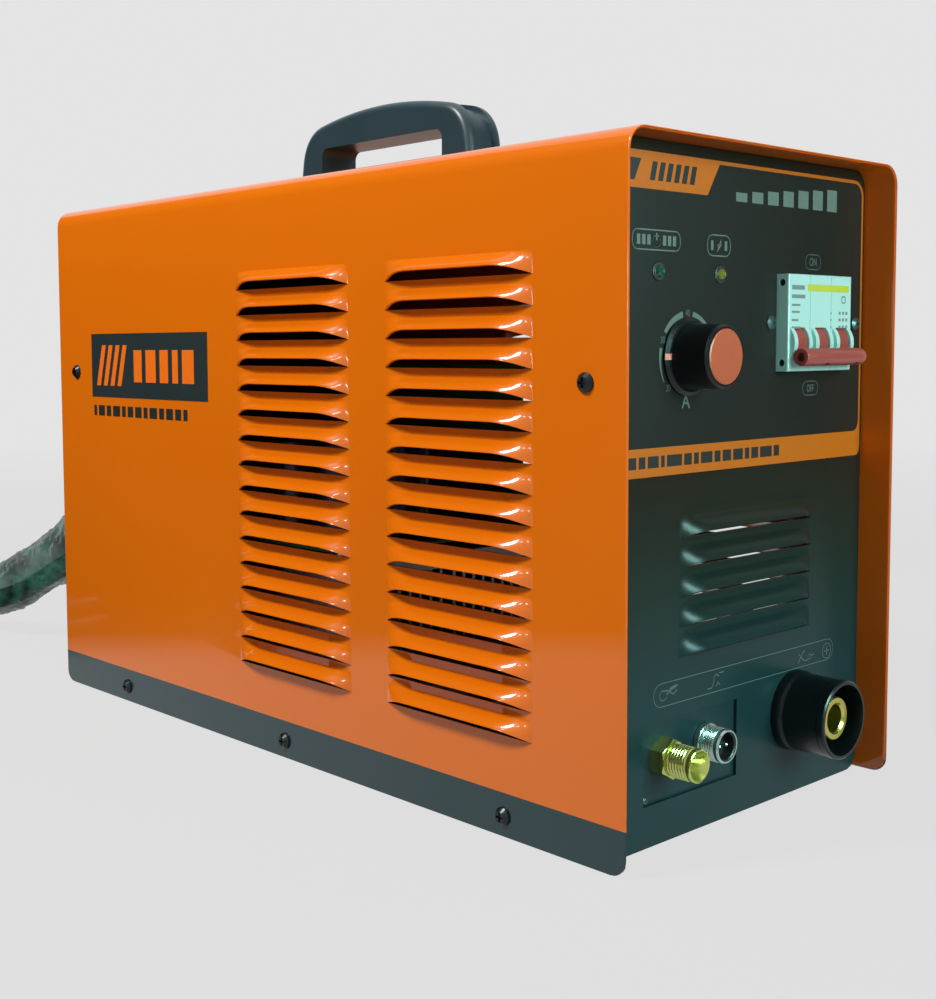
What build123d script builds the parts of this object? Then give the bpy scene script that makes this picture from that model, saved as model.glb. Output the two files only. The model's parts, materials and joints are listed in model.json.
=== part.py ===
from build123d import *
from math import cos, hypot, pi, radians, sin, sqrt, tan
import os

# An inverter plasma cutter: a louvred sheet cover over a base pan and two end panels, with the
# front controls, the rear fan and inlets, the power parts inside, and the power lead behind.
# Millimetres. X to the right seen from the front, Y to the rear, Z up, origin on the floor
# under the middle of the cover.

# ---- case ----
body_width = 205
body_depth = 465
body_height = 302.5
sheet = 1.2              # cover thickness
bend_radius = 10         # outside of the two top bends
corner_radius = 8        # lower corners of the cover's side walls
floor_gap = 0.5          # the cover hangs this far off the floor
slip = 0.2               # sheet to sheet clearance
snug = 0.1               # around a round piece that is held
running = 0.05           # around a shaft that turns or slides
panel_recess = 17        # the end panels stand back from the cover's edges
panel_sheet = 1.5
flange_depth = 12
pan_sheet = 1.5
pan_flange = 22
half_inside = body_width / 2 - sheet
half_panel = half_inside - slip
front_y = -body_depth / 2
rear_y = body_depth / 2
panel_y = front_y + panel_recess          # face of the front panel
panel_back = panel_y + panel_sheet
rear_panel_y = rear_y - panel_recess      # face of the rear panel
rear_panel_back = rear_panel_y - panel_sheet

# ---- louvres ----
louvre_length = 95
louvre_pitch = 13.36
louvre_count = 16
louvre_first = 45.8      # height of the lowest cut line
louvre_rise = 9.8        # height of a hood where it leaves the sheet
louvre_depth = 7.5       # how far the lip stands out
lip_lift = 3             # the pressed lip is drawn up this far
hood_end = 13            # length of a hood's sloping end
louvre_columns = (-133.7, -12)
front_louvre_length = 103
front_louvre_count = 5
front_louvre_pitch = 13.1
front_louvre_first = 80
front_louvre_x = 5
front_louvre_depth = 6

# ---- screws ----
screw_shank = 3.9
screw_hole = 4.0
screw_clear = 4.6
screw_head = 8.4
screw_head_height = 2.4
screw_grip = 4           # how far a screw reaches past the sheets it holds
upper_screw_inset = 22
upper_screw_drop = 101.5    # below the cover's top
upper_screw_z = body_height - upper_screw_drop
lower_screw_z = 9.5
lower_screws = (-163.5, -3.5, 156.5)
chassis_screw_x = 70
chassis_screw_inset = 8

# ---- handle ----
handle_y = 21.5
handle_length = 152
handle_height = 49.8
handle_width = 26
handle_opening = 104
handle_opening_height = 30.3
handle_edge = 4          # rounding of the grip
handle_groove = 14        # width of the groove round the handle's outer face
handle_groove_depth = 2.5
handle_screw_pitch = 126
handle_screw_hole = 5.0
handle_screw_depth = 20
handle_screw_head = 10

# ---- front controls, each at (x, z) ----
lamp_drop = 55.7         # each drop is measured down from the cover's top
knob_drop = 91.5
breaker_drop = 76.6
breaker_inset = 50.2     # from the cover's right side to the breaker's middle
lamps = ((-62.7, body_height - lamp_drop), (-19.1, body_height - lamp_drop))
lamp_hole = 7.0
lamp_lens = 5.0
bezel_width = 8.2
knob_x, knob_z = -42.3, body_height - knob_drop
knob_length = 20.7
knob_width = 28.4
knob_nose = 27.2
knob_skirt = 34
knob_cap_width = 23.5
shaft_width = 6
bush_width = 7
bush_length = 6
pot_width = 24
pot_depth = 9
breaker_x, breaker_z = body_width / 2 - breaker_inset, body_height - breaker_drop
poles = 3
pole_width = 18
breaker_height = 45
breaker_proud = 6.5
breaker_depth = 68
breaker_body_height = 81
toggle_z = breaker_z - 9.4
toggle_inset = 8         # pivot behind the breaker's face
cheek_radius = 10.6
barrel_radius = 9.5
tie_bar_radius = 16.3    # pivot to the middle of the tie bar
tie_bar_width = 7.7
toggle_rest = 25.4       # the tie bar hangs this far below level
axle_width = 3
lever_window = 9.4       # width of the slot that each lever turns in
breaker_screw_x = (breaker_x - 32.3, breaker_x + 40.7)
breaker_screw_z = breaker_z
breaker_screw_head = 6.4
plate_x0, plate_x1, plate_z0, plate_z1 = -70, -2.5, 18.5, 54
plate_sheet = 2
plate_lap = 5
plate_screw = (-67.8, 20.7)
plate_screw_width = 2
plate_screw_head = 3.4
torch_x, torch_z = -56, 38
torch_hole = 12.4
torch_hex = 17
torch_hex_height = 7.5
torch_thread = 15.6
torch_proud = 19.5       # past the front panel's face
torch_back = 14
torch_bore = 5
control_x, control_z = -25, 38.5
control_hole = 12.4
control_thread = 16
control_proud = 11
control_depth = 5.6      # from its mouth to the insert
control_pin = 1.5
control_pin_pitch = 4.8
socket_x, socket_z = 44, 40.6
socket_width = 37
socket_flange = 38.6
socket_spigot = 27.6
socket_proud = 27.5
socket_well = 16         # depth of the ring around the contact
contact_width = 20.5
contact_setback = 4.5
contact_bore = 13
contact_bore_depth = 24
label_sheet = 0.3
label_margin = 1.6       # of the panel left bare at each side
label_drop = 6.5           # from the cover's top to the label's top
label_height = 135.5
label_half = half_panel - label_margin
label_z1 = body_height - label_drop
label_z0 = label_z1 - label_height

badge_sheet = 0.25
badge_y, badge_z = 127.5, 205.2
badge_length, badge_height = 128, 38.5

# ---- rear ----
fan_size = 120
fan_depth = 38
fan_bore = 114
fan_z = 172
fan_screw_pitch = 105
fan_hub = 42
fan_tip_gap = 1.5        # between a blade's tip and the frame's bore
fan_shaft = 6
fan_spider = 4           # thickness of the arms that carry the hub
blade_count = 7
blade_width, blade_sheet, blade_angle = 26, 1.8, 38
guard_wire = 2.2
guard_plate = 1.4
guard_rings = 4
guard_pitch = 14
gland_x, gland_z = -48, 88
gland_hole = 24
gland_across = 30
gland_nose = 12
inlet_inset = 20.5       # from the cover's right side to the gas inlet
inlet_x, inlet_z = body_width / 2 - inlet_inset, 50
inlet_hole = 14
inlet_back = 8
inlet_bore = 4
barb_count, barb_pitch = 5, 3
barb_width, barb_root = 9.4, 6.8
barb_start = 15
stud_x, stud_z = 0, 40
stud_width = 6
stud_length = 34

# ---- inside ----
sink_y0, sink_y1 = -20, 140
sink_inner_x, sink_outer_x = 4, 76
sink_top = 100
sink_base = 8
rail_top = 5
rail_width = 16
fin_pitch = 8
fin_sheet = 2
standoff = 8
standoff_width = 7
board_sheet = 1.6
control_board_x = 60
control_board_height = 95
capacitor_width = 35
capacitor_height = 54
core_x, core_y = -52, -98
core_length, core_width, core_height = 56, 70, 62
core_limb = 22           # width of the limb that carries the winding
core_window = 16         # gap between that limb and each outer one
core_yoke = 12
winding_length = 80
winding_gap = 1          # to the walls of the core's windows
choke_x, choke_y = 30, -98
choke_ring = 24          # radius of the ring's middle
choke_thick = 35.8
valve_length, valve_width, valve_height = 30, 26, 28
valve_coil_side, valve_coil_height = 30, 32
tube_width, tube_height = 14, 36
plunger_width, plunger_length, plunger_travel = 8, 34, 2
hose_width = 8

# ---- power lead ----
lead_width = 14
coil_x, coil_y = -172, 429.7
coil_inner, coil_outer = 62, 90      # middle of the inmost and outmost turns, in two layers
relief_end = 46
lead_inside = 20
tie_width, tie_sheet, tie_gap = 5, 1.2, 0.3
plug_width = 56
plug_length = 118
plug_floor = 76          # from its rear end to the bottom of its shroud
plug_shroud = 3
plug_pin = 5
plug_pin_length = 34
plug_pin_circle = 28


def front_at(x, z, y=panel_y):
    # A plane that faces forward: its own x is X and its own y is Z.
    return Plane((x, y, z), x_dir=(1, 0, 0), z_dir=(0, -1, 0))


def rear_at(x, z, y=rear_panel_y):
    # A plane that faces rearward, seen from behind.
    return Plane((x, y, z), x_dir=(-1, 0, 0), z_dir=(0, 1, 0))


def block(x0, x1, y0, y1, z0, z1, mode=Mode.ADD):
    with Locations(((x0 + x1) / 2, (y0 + y1) / 2, (z0 + z1) / 2)):
        Box(x1 - x0, y1 - y0, z1 - z0, mode=mode)


def turn(profile, plane, mode=Mode.ADD):
    # Turns a profile of (radius, distance ahead of the plane) about the plane's own normal.
    side = Plane(plane.origin, x_dir=plane.x_dir, z_dir=-plane.y_dir)
    with BuildSketch(side) as section:
        with BuildLine():
            Polyline(*profile, close=True)
        make_face()
    revolve(section.sketch, axis=Axis(plane.origin, plane.z_dir), mode=mode)


def drill(width, depth, *planes):
    # Holes that go into the part from each plane's face.
    for plane in planes:
        with Locations(plane.location):
            Cylinder(width / 2, depth, align=(Align.CENTER, Align.CENTER, Align.MAX), mode=Mode.SUBTRACT)


def peg(width, length, plane, mode=Mode.ADD):
    with Locations(plane.location):
        Cylinder(width / 2, length, align=(Align.CENTER, Align.CENTER, Align.MIN), mode=mode)


def save(built, name):
    built.part.label = name
    export_step(built.part, f"parts/{name}.step")


def hood_shell(length, depth):
    # One pressed hood, open below. Its own x runs along the cut, y up and z out of the sheet.
    slope = (louvre_rise - lip_lift - sheet) / depth
    wall_up = sheet * hypot(1, slope)
    wall_along = sheet * hypot(1, hood_end / depth)
    inner = depth - sheet
    inner_top = lip_lift + sheet + slope * sheet - wall_up
    inner_half = length / 2 - hood_end * inner / depth - wall_along
    with BuildPart() as hood:
        with BuildSketch(Plane.XY.offset(-slip)):
            with Locations((0, louvre_rise / 2)):
                Rectangle(length, louvre_rise)
        with BuildSketch(Plane.XY.offset(depth)):
            with Locations((0, lip_lift + sheet / 2)):
                Rectangle(length - 2 * hood_end, sheet)
        loft(ruled=True)
        with BuildSketch(Plane.XY.offset(-2 * slip)) as foot:
            with Locations((0, louvre_rise / 2 - wall_up)):
                Rectangle(length - 2 * wall_along, louvre_rise)
        with BuildSketch(Plane.XY.offset(inner)) as lip:
            with Locations((0, (inner_top - wall_up) / 2)):
                Rectangle(2 * inner_half, inner_top + wall_up)
        loft([foot.sketch, lip.sketch], ruled=True, mode=Mode.SUBTRACT)
        with BuildSketch(Plane.XY.offset(-2 * slip)) as under:
            with Locations((0, -louvre_rise / 2)):
                Rectangle(2 * length, louvre_rise)
        extrude(under.sketch, amount=2 * depth, mode=Mode.SUBTRACT)
    return hood.part, length - 2 * wall_along, louvre_rise - wall_up


def press_louvres(places, length, depth, thickness):
    # Cuts each slot through the sheet, then puts its hood on.
    hood, slot_length, slot_height = hood_shell(length, depth)
    with Locations(*places):
        with Locations((0, slot_height / 2, 0)):
            Box(slot_length, slot_height, 3 * thickness, mode=Mode.SUBTRACT)
    with Locations(*places):
        add(hood)


def pan_head(plane, length, width=screw_shank, head=screw_head, height=screw_head_height):
    # A pan head screw: the plane is the seat, the shank runs back from it.
    turn(
        [(0, -length), (width / 2, -length), (width / 2, 0), (head / 2, 0), (head / 2, height * 0.35),
         (head * 0.3, height), (0, height)],
        plane,
    )
    for angle in (0, 90):
        with Locations(plane.location * Location((0, 0, height), (0, 0, angle))):
            Box(head * 0.5, head * 0.12, height, mode=Mode.SUBTRACT)


def side_planes(spots, half=body_width / 2, sides=(-1, 1)):
    # A plane on each side wall for each spot (y, z), facing outward with its own y up.
    return [Plane((side * half, y, z), x_dir=(0, side, 0), z_dir=(side, 0, 0)) for side in sides for y, z in spots]


def wall(side, half, thickness, y0, y1, z0, z1):
    # An upright wall on one side, its outer face at half.
    middle = side * (half - thickness / 2)
    block(middle - thickness / 2, middle + thickness / 2, y0, y1, z0, z1)


front_screw_y = front_y + upper_screw_inset
rear_screw_y = rear_y - upper_screw_inset
lower_screw_spots = [(y, lower_screw_z) for y in lower_screws]
cover_screw_spots = [(front_screw_y, upper_screw_z), (rear_screw_y, upper_screw_z)] + lower_screw_spots
louvre_spots = [(y, louvre_first + louvre_pitch * n) for y in louvre_columns for n in range(louvre_count)]
handle_feet = [handle_y + side * handle_screw_pitch / 2 for side in (-1, 1)]

os.makedirs("parts", exist_ok=True)

# ---------------------------------------------------------------- case

# The cover: a top with its two bends, and a louvred side wall under each.
side_top = body_height - bend_radius

with BuildPart() as cover_top:
    with BuildSketch(Plane.XZ.offset(-rear_y)):
        with Locations((0, body_height / 2)):
            outline = Rectangle(body_width, body_height)
        fillet(outline.vertices().group_by(Axis.Y)[-1], bend_radius)
        with Locations((0, (body_height - sheet) / 2)):
            RectangleRounded(2 * half_inside, body_height - sheet, bend_radius - sheet, mode=Mode.SUBTRACT)
        Rectangle(2 * body_width, 2 * side_top, mode=Mode.SUBTRACT)
    extrude(amount=body_depth)
    drill(handle_screw_hole + 2 * slip, 2 * sheet, *[Plane((0, y, body_height)) for y in handle_feet])
save(cover_top, "cover_top")


def louvred_side(side):
    wall(side, body_width / 2, sheet, front_y, rear_y, floor_gap, side_top)
    fillet(edges().filter_by(Axis.X).group_by(Axis.Z)[0], corner_radius)
    planes = side_planes(louvre_spots, sides=[side])
    press_louvres([plane.location for plane in planes], louvre_length, louvre_depth, sheet)
    drill(screw_clear, 2 * sheet, *side_planes(cover_screw_spots, sides=[side]))


with BuildPart() as cover_left:
    louvred_side(-1)
save(cover_left, "cover_left")

with BuildPart() as cover_right:
    louvred_side(1)
save(cover_right, "cover_right")

pan_front = panel_back + slip
pan_rear = rear_panel_back - slip
chassis_front = panel_back + chassis_screw_inset
chassis_rear = rear_panel_back - chassis_screw_inset
chassis_spots = [(side * chassis_screw_x, y) for side in (-1, 1) for y in (chassis_front, chassis_rear)]

with BuildPart() as base_pan:
    block(-half_panel, half_panel, pan_front, pan_rear, 0, pan_sheet)
    for side in (-1, 1):
        wall(side, half_panel, pan_sheet, pan_front, pan_rear, 0, pan_flange)
    drill(screw_hole, 2 * pan_sheet, *side_planes(lower_screw_spots, half_panel))
    drill(screw_hole, pan_sheet, *[Plane((x, y, pan_sheet)) for x, y in chassis_spots])
save(base_pan, "base_pan")


foot_z = pan_sheet + slip


def end_panel(y_face, inward, screw_y):
    # The flat of an end panel with its two side flanges and its foot flange. inward is the sign
    # of Y towards the inside.
    y_back = y_face + inward * panel_sheet
    low, high = sorted((y_back, y_back + inward * flange_depth))
    top = body_height - sheet - slip
    with BuildSketch(front_at(0, 0, max(y_face, y_back))) as flat:
        with Locations((0, (slip + top) / 2)):
            outline = Rectangle(2 * half_panel, top - slip)
        fillet(outline.vertices().group_by(Axis.Y)[-1], bend_radius - sheet - slip)
    extrude(flat.sketch, amount=panel_sheet)
    for side in (-1, 1):
        wall(side, half_panel, panel_sheet, low, high, pan_flange + 2, body_height - 2 * bend_radius)
    drill(screw_hole, 2 * panel_sheet, *side_planes([(screw_y, upper_screw_z)], half_panel))
    foot = chassis_screw_x + screw_head
    block(-foot, foot, low, high, foot_z, foot_z + panel_sheet)
    y_screw = y_back + inward * chassis_screw_inset
    for side in (-1, 1):
        drill(screw_clear, panel_sheet, Plane((side * chassis_screw_x, y_screw, foot_z + panel_sheet)))


half_breaker = poles * pole_width / 2
with BuildPart() as front_panel:
    end_panel(panel_y, 1, front_screw_y)
    heights = [front_louvre_first + front_louvre_pitch * n for n in range(front_louvre_count)]
    press_louvres([front_at(front_louvre_x, z).location for z in heights], front_louvre_length,
                  front_louvre_depth, panel_sheet)
    block(breaker_x - half_breaker - slip, breaker_x + half_breaker + slip, panel_y, panel_back,
          breaker_z - breaker_height / 2 - slip, breaker_z + breaker_height / 2 + slip, mode=Mode.SUBTRACT)
    block(plate_x0, plate_x1, panel_y, panel_back, plate_z0, plate_z1, mode=Mode.SUBTRACT)
    drill(bush_width + 2 * slip, panel_sheet, front_at(knob_x, knob_z))
    drill(lamp_hole, panel_sheet, *[front_at(x, z) for x, z in lamps])
    drill(socket_spigot + 2 * slip, panel_sheet, front_at(socket_x, socket_z))
    drill(screw_hole, panel_sheet, *[front_at(x, breaker_screw_z) for x in breaker_screw_x])
save(front_panel, "front_panel")

with BuildPart() as front_label:
    with BuildSketch(front_at(0, 0)):
        with Locations((0, (label_z0 + label_z1) / 2)):
            RectangleRounded(2 * label_half, label_z1 - label_z0, 4)
        with Locations((breaker_x, breaker_z)):
            Rectangle(2 * half_breaker + 1, breaker_height + 1, mode=Mode.SUBTRACT)
        with Locations(*lamps):
            Circle(bezel_width / 2 + slip, mode=Mode.SUBTRACT)
        with Locations((knob_x, knob_z)):
            Circle(bush_width / 2 + slip, mode=Mode.SUBTRACT)
        with Locations(*[(x, breaker_screw_z) for x in breaker_screw_x]):
            Circle(screw_clear / 2, mode=Mode.SUBTRACT)
    extrude(amount=label_sheet)
save(front_label, "front_label")

fan_corner = fan_screw_pitch / 2
fan_screws_at = [(x * fan_corner, fan_z + z * fan_corner) for x in (-1, 1) for z in (-1, 1)]

with BuildPart() as rear_panel:
    end_panel(rear_panel_y, -1, rear_screw_y)
    drill(fan_bore, 2 * panel_sheet, rear_at(0, fan_z))
    drill(screw_clear, 2 * panel_sheet, *[rear_at(x, z) for x, z in fan_screws_at])
    drill(gland_hole + 2 * slip, 2 * panel_sheet, rear_at(gland_x, gland_z))
    drill(inlet_hole + 2 * slip, 2 * panel_sheet, rear_at(inlet_x, inlet_z))
    drill(stud_width + 2 * slip, 2 * panel_sheet, rear_at(stud_x, stud_z))
save(rear_panel, "rear_panel")

with BuildPart() as side_badges:
    for plane in side_planes([(badge_y, badge_z)]):
        with Locations(plane.location):
            Box(badge_length, badge_height, badge_sheet, align=(Align.CENTER, Align.CENTER, Align.MIN))
save(side_badges, "side_badges")

with BuildPart() as cover_screws:
    for plane in side_planes(cover_screw_spots):
        pan_head(plane, sheet + slip + panel_sheet + screw_grip)
save(cover_screws, "cover_screws")

# Plated screws inside: four hold the end panels to the pan and two hold the handle.
with BuildPart() as plated_screws:
    seat = foot_z + panel_sheet
    for x, y in chassis_spots:
        pan_head(Plane((x, y, seat)), seat - slip)
    for y in handle_feet:
        pan_head(Plane((0, y, body_height - sheet), z_dir=(0, 0, -1)), sheet + handle_screw_depth - screw_grip,
                 handle_screw_hole - 2 * running, handle_screw_head, 3)
save(plated_screws, "plated_screws")

# ---------------------------------------------------------------- handle

half_handle = handle_length / 2
shoulder = Vector(half_handle - 3.5, handle_height - 26.5)     # where the leg's flank starts to turn in
crown_end = Vector(half_handle - 22, handle_height - 5.5)


def handle_outline(foot, inset):
    # the handle's outer line, moved in by inset, its legs carried on to the height foot
    side = Vector(shoulder.X - inset, shoulder.Y)
    turn_in = Vector(half_handle - 9.6 - 0.75 * inset, handle_height - 12.5 - 0.66 * inset)
    top_end = Vector(crown_end.X - 0.25 * inset, crown_end.Y - 0.97 * inset)
    with BuildLine() as outline:
        toe = (side.X + (half_handle - shoulder.X) * (1 - foot / shoulder.Y), foot)
        flank = Line(toe, (side.X, side.Y))
        crown = ThreePointArc((top_end.X, top_end.Y), (0, handle_height - inset), (-top_end.X, top_end.Y))
        Spline((side.X, side.Y), (turn_in.X, turn_in.Y), (top_end.X, top_end.Y), tangents=(flank % 1, crown % 0))
        Line((0, foot), toe)
        mirror(about=Plane.YZ)
    return outline.edges()


def handle_side(width):
    return Plane((-width / 2, handle_y, body_height), x_dir=(0, 1, 0), z_dir=(1, 0, 0))


with BuildPart() as handle:
    with BuildSketch(handle_side(handle_width)):
        make_face(handle_outline(0, 0))
        with Locations((0, handle_opening_height / 2)):
            Rectangle(handle_opening, handle_opening_height, mode=Mode.SUBTRACT)
    extrude(amount=handle_width)
    across_edges = handle.edges().filter_by(Axis.X)
    fillet([e for e in across_edges if 1 < e.center().Z - body_height < handle_opening_height + 1
            and abs(e.center().Y - handle_y) < handle_opening / 2 + 1], 5)
    sides = handle.faces().filter_by(Axis.X)
    rims = [e for face in sides for e in face.outer_wire().edges()]
    fillet([e for e in rims if e.center().Z - body_height > 1
            and (abs(e.center().Y - handle_y) > handle_opening / 2 + 8
                 or e.center().Z - body_height > handle_opening_height + 6)], handle_edge)
    with BuildSketch(handle_side(handle_groove)):
        make_face(handle_outline(-handle_groove_depth, -handle_groove_depth))
        make_face(handle_outline(-handle_groove_depth, handle_groove_depth), mode=Mode.SUBTRACT)
    extrude(amount=handle_groove, mode=Mode.SUBTRACT)
    drill(handle_screw_hole, handle_screw_depth, *[Plane((0, y, body_height), z_dir=(0, 0, -1)) for y in handle_feet])
save(handle, "handle")

# ---------------------------------------------------------------- lamps and knob

lamp_r = lamp_lens / 2
bezel_r = bezel_width / 2
with BuildPart() as lamp_bezels:
    for x, z in lamps:
        turn([(lamp_r + snug, -5), (lamp_hole / 2 - snug, -5), (lamp_hole / 2 - snug, 0), (bezel_r, 0),
              (bezel_r, 0.5), (bezel_r - 0.5, 0.9), (lamp_r + snug, 0.9)], front_at(x, z))
save(lamp_bezels, "lamp_bezels")


def lamp(x, z):
    turn([(0, -6), (lamp_r, -6), (lamp_r, 1.0), (lamp_r - 0.4, 1.8), (lamp_r - 1.2, 2.5), (0, 2.8)], front_at(x, z))


with BuildPart() as power_lamp:
    lamp(*lamps[0])
save(power_lamp, "power_lamp")

with BuildPart() as fault_lamp:
    lamp(*lamps[1])
save(fault_lamp, "fault_lamp")

# The knob is hollow behind, over the potentiometer's nut, and its cap sits in a shallow seat.
knob_at = front_at(knob_x, knob_z)
knob_hollow = 10.5
cap_seat, cap_stand = 1.4, 0.6
skirt_back = label_sheet + 0.5
skirt_edge = Vector(knob_skirt / 2, skirt_back + 0.6)
skirt_front = Vector(knob_width / 2 + 1.1, skirt_back + 1.9)
nose = knob_length - cap_stand
cap_back = nose - cap_seat
shaft_end = cap_back - 2.6
shaft_r = shaft_width / 2
cap_r = knob_cap_width / 2
with BuildPart() as knob:
    turn([(knob_hollow, skirt_back), (knob_skirt / 2, skirt_back), (skirt_edge.X, skirt_edge.Y),
          (skirt_front.X, skirt_front.Y), (knob_width / 2, skirt_front.Y),
          (knob_nose / 2, nose - 1), (knob_nose / 2 - 1, nose), (cap_r + snug, nose),
          (cap_r + snug, cap_back), (0, cap_back), (0, shaft_end), (shaft_r + running, shaft_end),
          (shaft_r + running, bush_length + 3), (knob_hollow, bush_length + 3)], knob_at)
save(knob, "knob")

with BuildPart() as knob_cap:
    turn([(0, cap_back), (cap_r, cap_back), (cap_r, knob_length - 0.4), (cap_r - 0.6, knob_length),
          (0, knob_length)], knob_at)
save(knob_cap, "knob_cap")

# The pointer is a short bar over the skirt's cone and ledge on its left.
pointer_width, pointer_rise = 2.6, 0.3
slant = (skirt_front - skirt_edge).normalized()
lift = Vector(slant.Y, -slant.X) * pointer_rise
with BuildPart() as knob_pointer:
    with BuildSketch(Plane((knob_x, panel_y, knob_z - pointer_width / 2))):
        with BuildLine():
            bar = [(knob_width / 2 + snug, skirt_front.Y), (skirt_front.X, skirt_front.Y), (skirt_edge.X, skirt_edge.Y),
                   (skirt_edge.X + lift.X, skirt_edge.Y + lift.Y), (skirt_front.X + lift.X / 3, skirt_front.Y + pointer_rise),
                   (knob_width / 2 + snug, skirt_front.Y + pointer_rise)]
            Polyline(*[(-r, -h) for r, h in bar], close=True)
        make_face()
    extrude(amount=pointer_width)
save(knob_pointer, "knob_pointer")

pot_back = -panel_sheet - pot_depth
with BuildPart() as potentiometer:
    turn([(shaft_r + running, pot_back), (pot_width / 2, pot_back), (pot_width / 2, -panel_sheet),
          (bush_width / 2, -panel_sheet), (bush_width / 2, bush_length), (shaft_r + running, bush_length)], knob_at)
    block(knob_x - 8, knob_x + 8, panel_back, panel_back + 3, knob_z - pot_width / 2 - 8, knob_z - pot_width / 2 + 4)
save(potentiometer, "potentiometer")

with BuildPart() as pot_shaft:
    peg(shaft_width, shaft_end - pot_back - 2 * snug, front_at(knob_x, knob_z, panel_y - pot_back - snug))
save(pot_shaft, "pot_shaft")

# ---------------------------------------------------------------- circuit breaker

breaker_left = breaker_x - half_breaker
breaker_right = breaker_x + half_breaker
breaker_low = breaker_z - breaker_height / 2
breaker_high = breaker_z + breaker_height / 2
breaker_face = panel_y - breaker_proud
breaker_back = breaker_face + breaker_depth
pivot_y = breaker_face + toggle_inset
pole_middles = [breaker_left + (pole + 0.5) * pole_width for pole in range(poles)]
cheek_inset = 1.4        # from a pole's side to its cheeks
axle_inset = 2           # from the breaker's side to the end of the axle's hole
seam = 0.3


def across(middle, radius, width, mode=Mode.ADD):
    # A cylinder on the levers' axis.
    plane = Plane((middle - width / 2, pivot_y, toggle_z), z_dir=(1, 0, 0))
    peg(2 * radius, width, plane, mode=mode)


with BuildPart() as breaker_body:
    shoulder_y = panel_back + 1
    block(breaker_left, breaker_right, breaker_face, shoulder_y, breaker_low, breaker_high)
    fillet(breaker_body.faces().sort_by(Axis.Y)[0].edges(), 0.8)
    block(breaker_left, breaker_right, shoulder_y, breaker_back,
          breaker_z - breaker_body_height / 2, breaker_z + breaker_body_height / 2)
    for middle in pole_middles:
        across(middle, cheek_radius, pole_width - 2 * cheek_inset)
    for middle in pole_middles:
        across(middle, cheek_radius + slip, lever_window, mode=Mode.SUBTRACT)
    across(breaker_x, axle_width / 2 + running, 2 * (half_breaker - axle_inset), mode=Mode.SUBTRACT)
    for middle in pole_middles[1:]:
        x = middle - pole_width / 2
        block(x - seam / 2, x + seam / 2, breaker_face, breaker_face + seam, breaker_low, breaker_high,
              mode=Mode.SUBTRACT)
    # Rivet pockets on both sides, and terminal screw wells above and below.
    for side in (-1, 1):
        for z in (breaker_low + 4, breaker_high - 4):
            drill(3.4, 1.2, Plane((breaker_x + side * half_breaker, breaker_face + 3.6, z), z_dir=(side, 0, 0)))
    for middle in pole_middles:
        for end in (-1, 1):
            drill(9, 12, Plane((middle, breaker_back - 30, breaker_z + end * breaker_body_height / 2),
                               z_dir=(0, 0, end)))
save(breaker_body, "breaker_body")

arm_plane = Plane((0, pivot_y, toggle_z), z_dir=(1, 0, 0),
                  x_dir=(0, -cos(radians(toggle_rest)), -sin(radians(toggle_rest))))
arm_start = barrel_radius / 2
arm_end = tie_bar_radius - tie_bar_width / 2 + 1
arm_width, arm_height = 6, 4.4
with BuildPart() as breaker_levers:
    across(breaker_x, axle_width / 2, 2 * (half_breaker - axle_inset - slip))
    for middle in pole_middles:
        across(middle, barrel_radius, lever_window - 2 * 0.3)
        with BuildSketch(arm_plane.offset(middle - arm_width / 2)) as arm:
            with Locations(((arm_start + arm_end) / 2, 0)):
                Rectangle(arm_end - arm_start, arm_height)
        extrude(arm.sketch, amount=arm_width)
save(breaker_levers, "breaker_levers")

# The tie bar is flat where it meets the arms, hollow at its left end and notched below.
bar_overhang = 1.5
with BuildPart() as breaker_tie_bar:
    bar_start = arm_plane.offset(breaker_left - bar_overhang)
    with BuildSketch(bar_start) as bar:
        with Locations((tie_bar_radius, 0)):
            Circle(tie_bar_width / 2)
        with Locations((arm_end - tie_bar_width / 2, 0)):
            Rectangle(tie_bar_width, 2 * tie_bar_width, mode=Mode.SUBTRACT)
    extrude(bar.sketch, amount=2 * (half_breaker + bar_overhang))
    with BuildSketch(bar_start) as hollow:
        with Locations((tie_bar_radius, 0)):
            Circle(tie_bar_width / 4)
    extrude(hollow.sketch, amount=4, mode=Mode.SUBTRACT)
    for middle in (pole_middles[0] + 4, pole_middles[-1] - 7):
        with BuildSketch(arm_plane.offset(middle)) as notch:
            with Locations((tie_bar_radius, tie_bar_width / 2)):
                Rectangle(3, 1.4)
        extrude(notch.sketch, amount=2.4, mode=Mode.SUBTRACT)
save(breaker_tie_bar, "breaker_tie_bar")

# A strap behind the breaker, with its two ends screwed to the panel.
bracket_sheet = 1.5
bracket_half = 10
strap_width = 35
tab_reach = 5            # from a screw to the tab's outer end
with BuildPart() as breaker_bracket:
    for side, x in zip((-1, 1), breaker_screw_x):
        tab_start = breaker_x + side * (half_breaker + 2 * slip)
        tab_end = x + side * tab_reach
        low, high = breaker_screw_z - bracket_half, breaker_screw_z + bracket_half
        block(*sorted((tab_start, tab_end)), panel_back, panel_back + bracket_sheet, low, high)
        block(*sorted((tab_end - side * bracket_sheet, tab_end)), panel_back, breaker_back + bracket_sheet, low, high)
        drill(screw_hole, bracket_sheet, front_at(x, breaker_screw_z, panel_back))
    block(breaker_screw_x[0] - tab_reach, breaker_screw_x[1] + tab_reach, breaker_back,
          breaker_back + bracket_sheet, breaker_z - strap_width / 2, breaker_z + strap_width / 2)
save(breaker_bracket, "breaker_bracket")

# ---------------------------------------------------------------- front connectors

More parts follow.
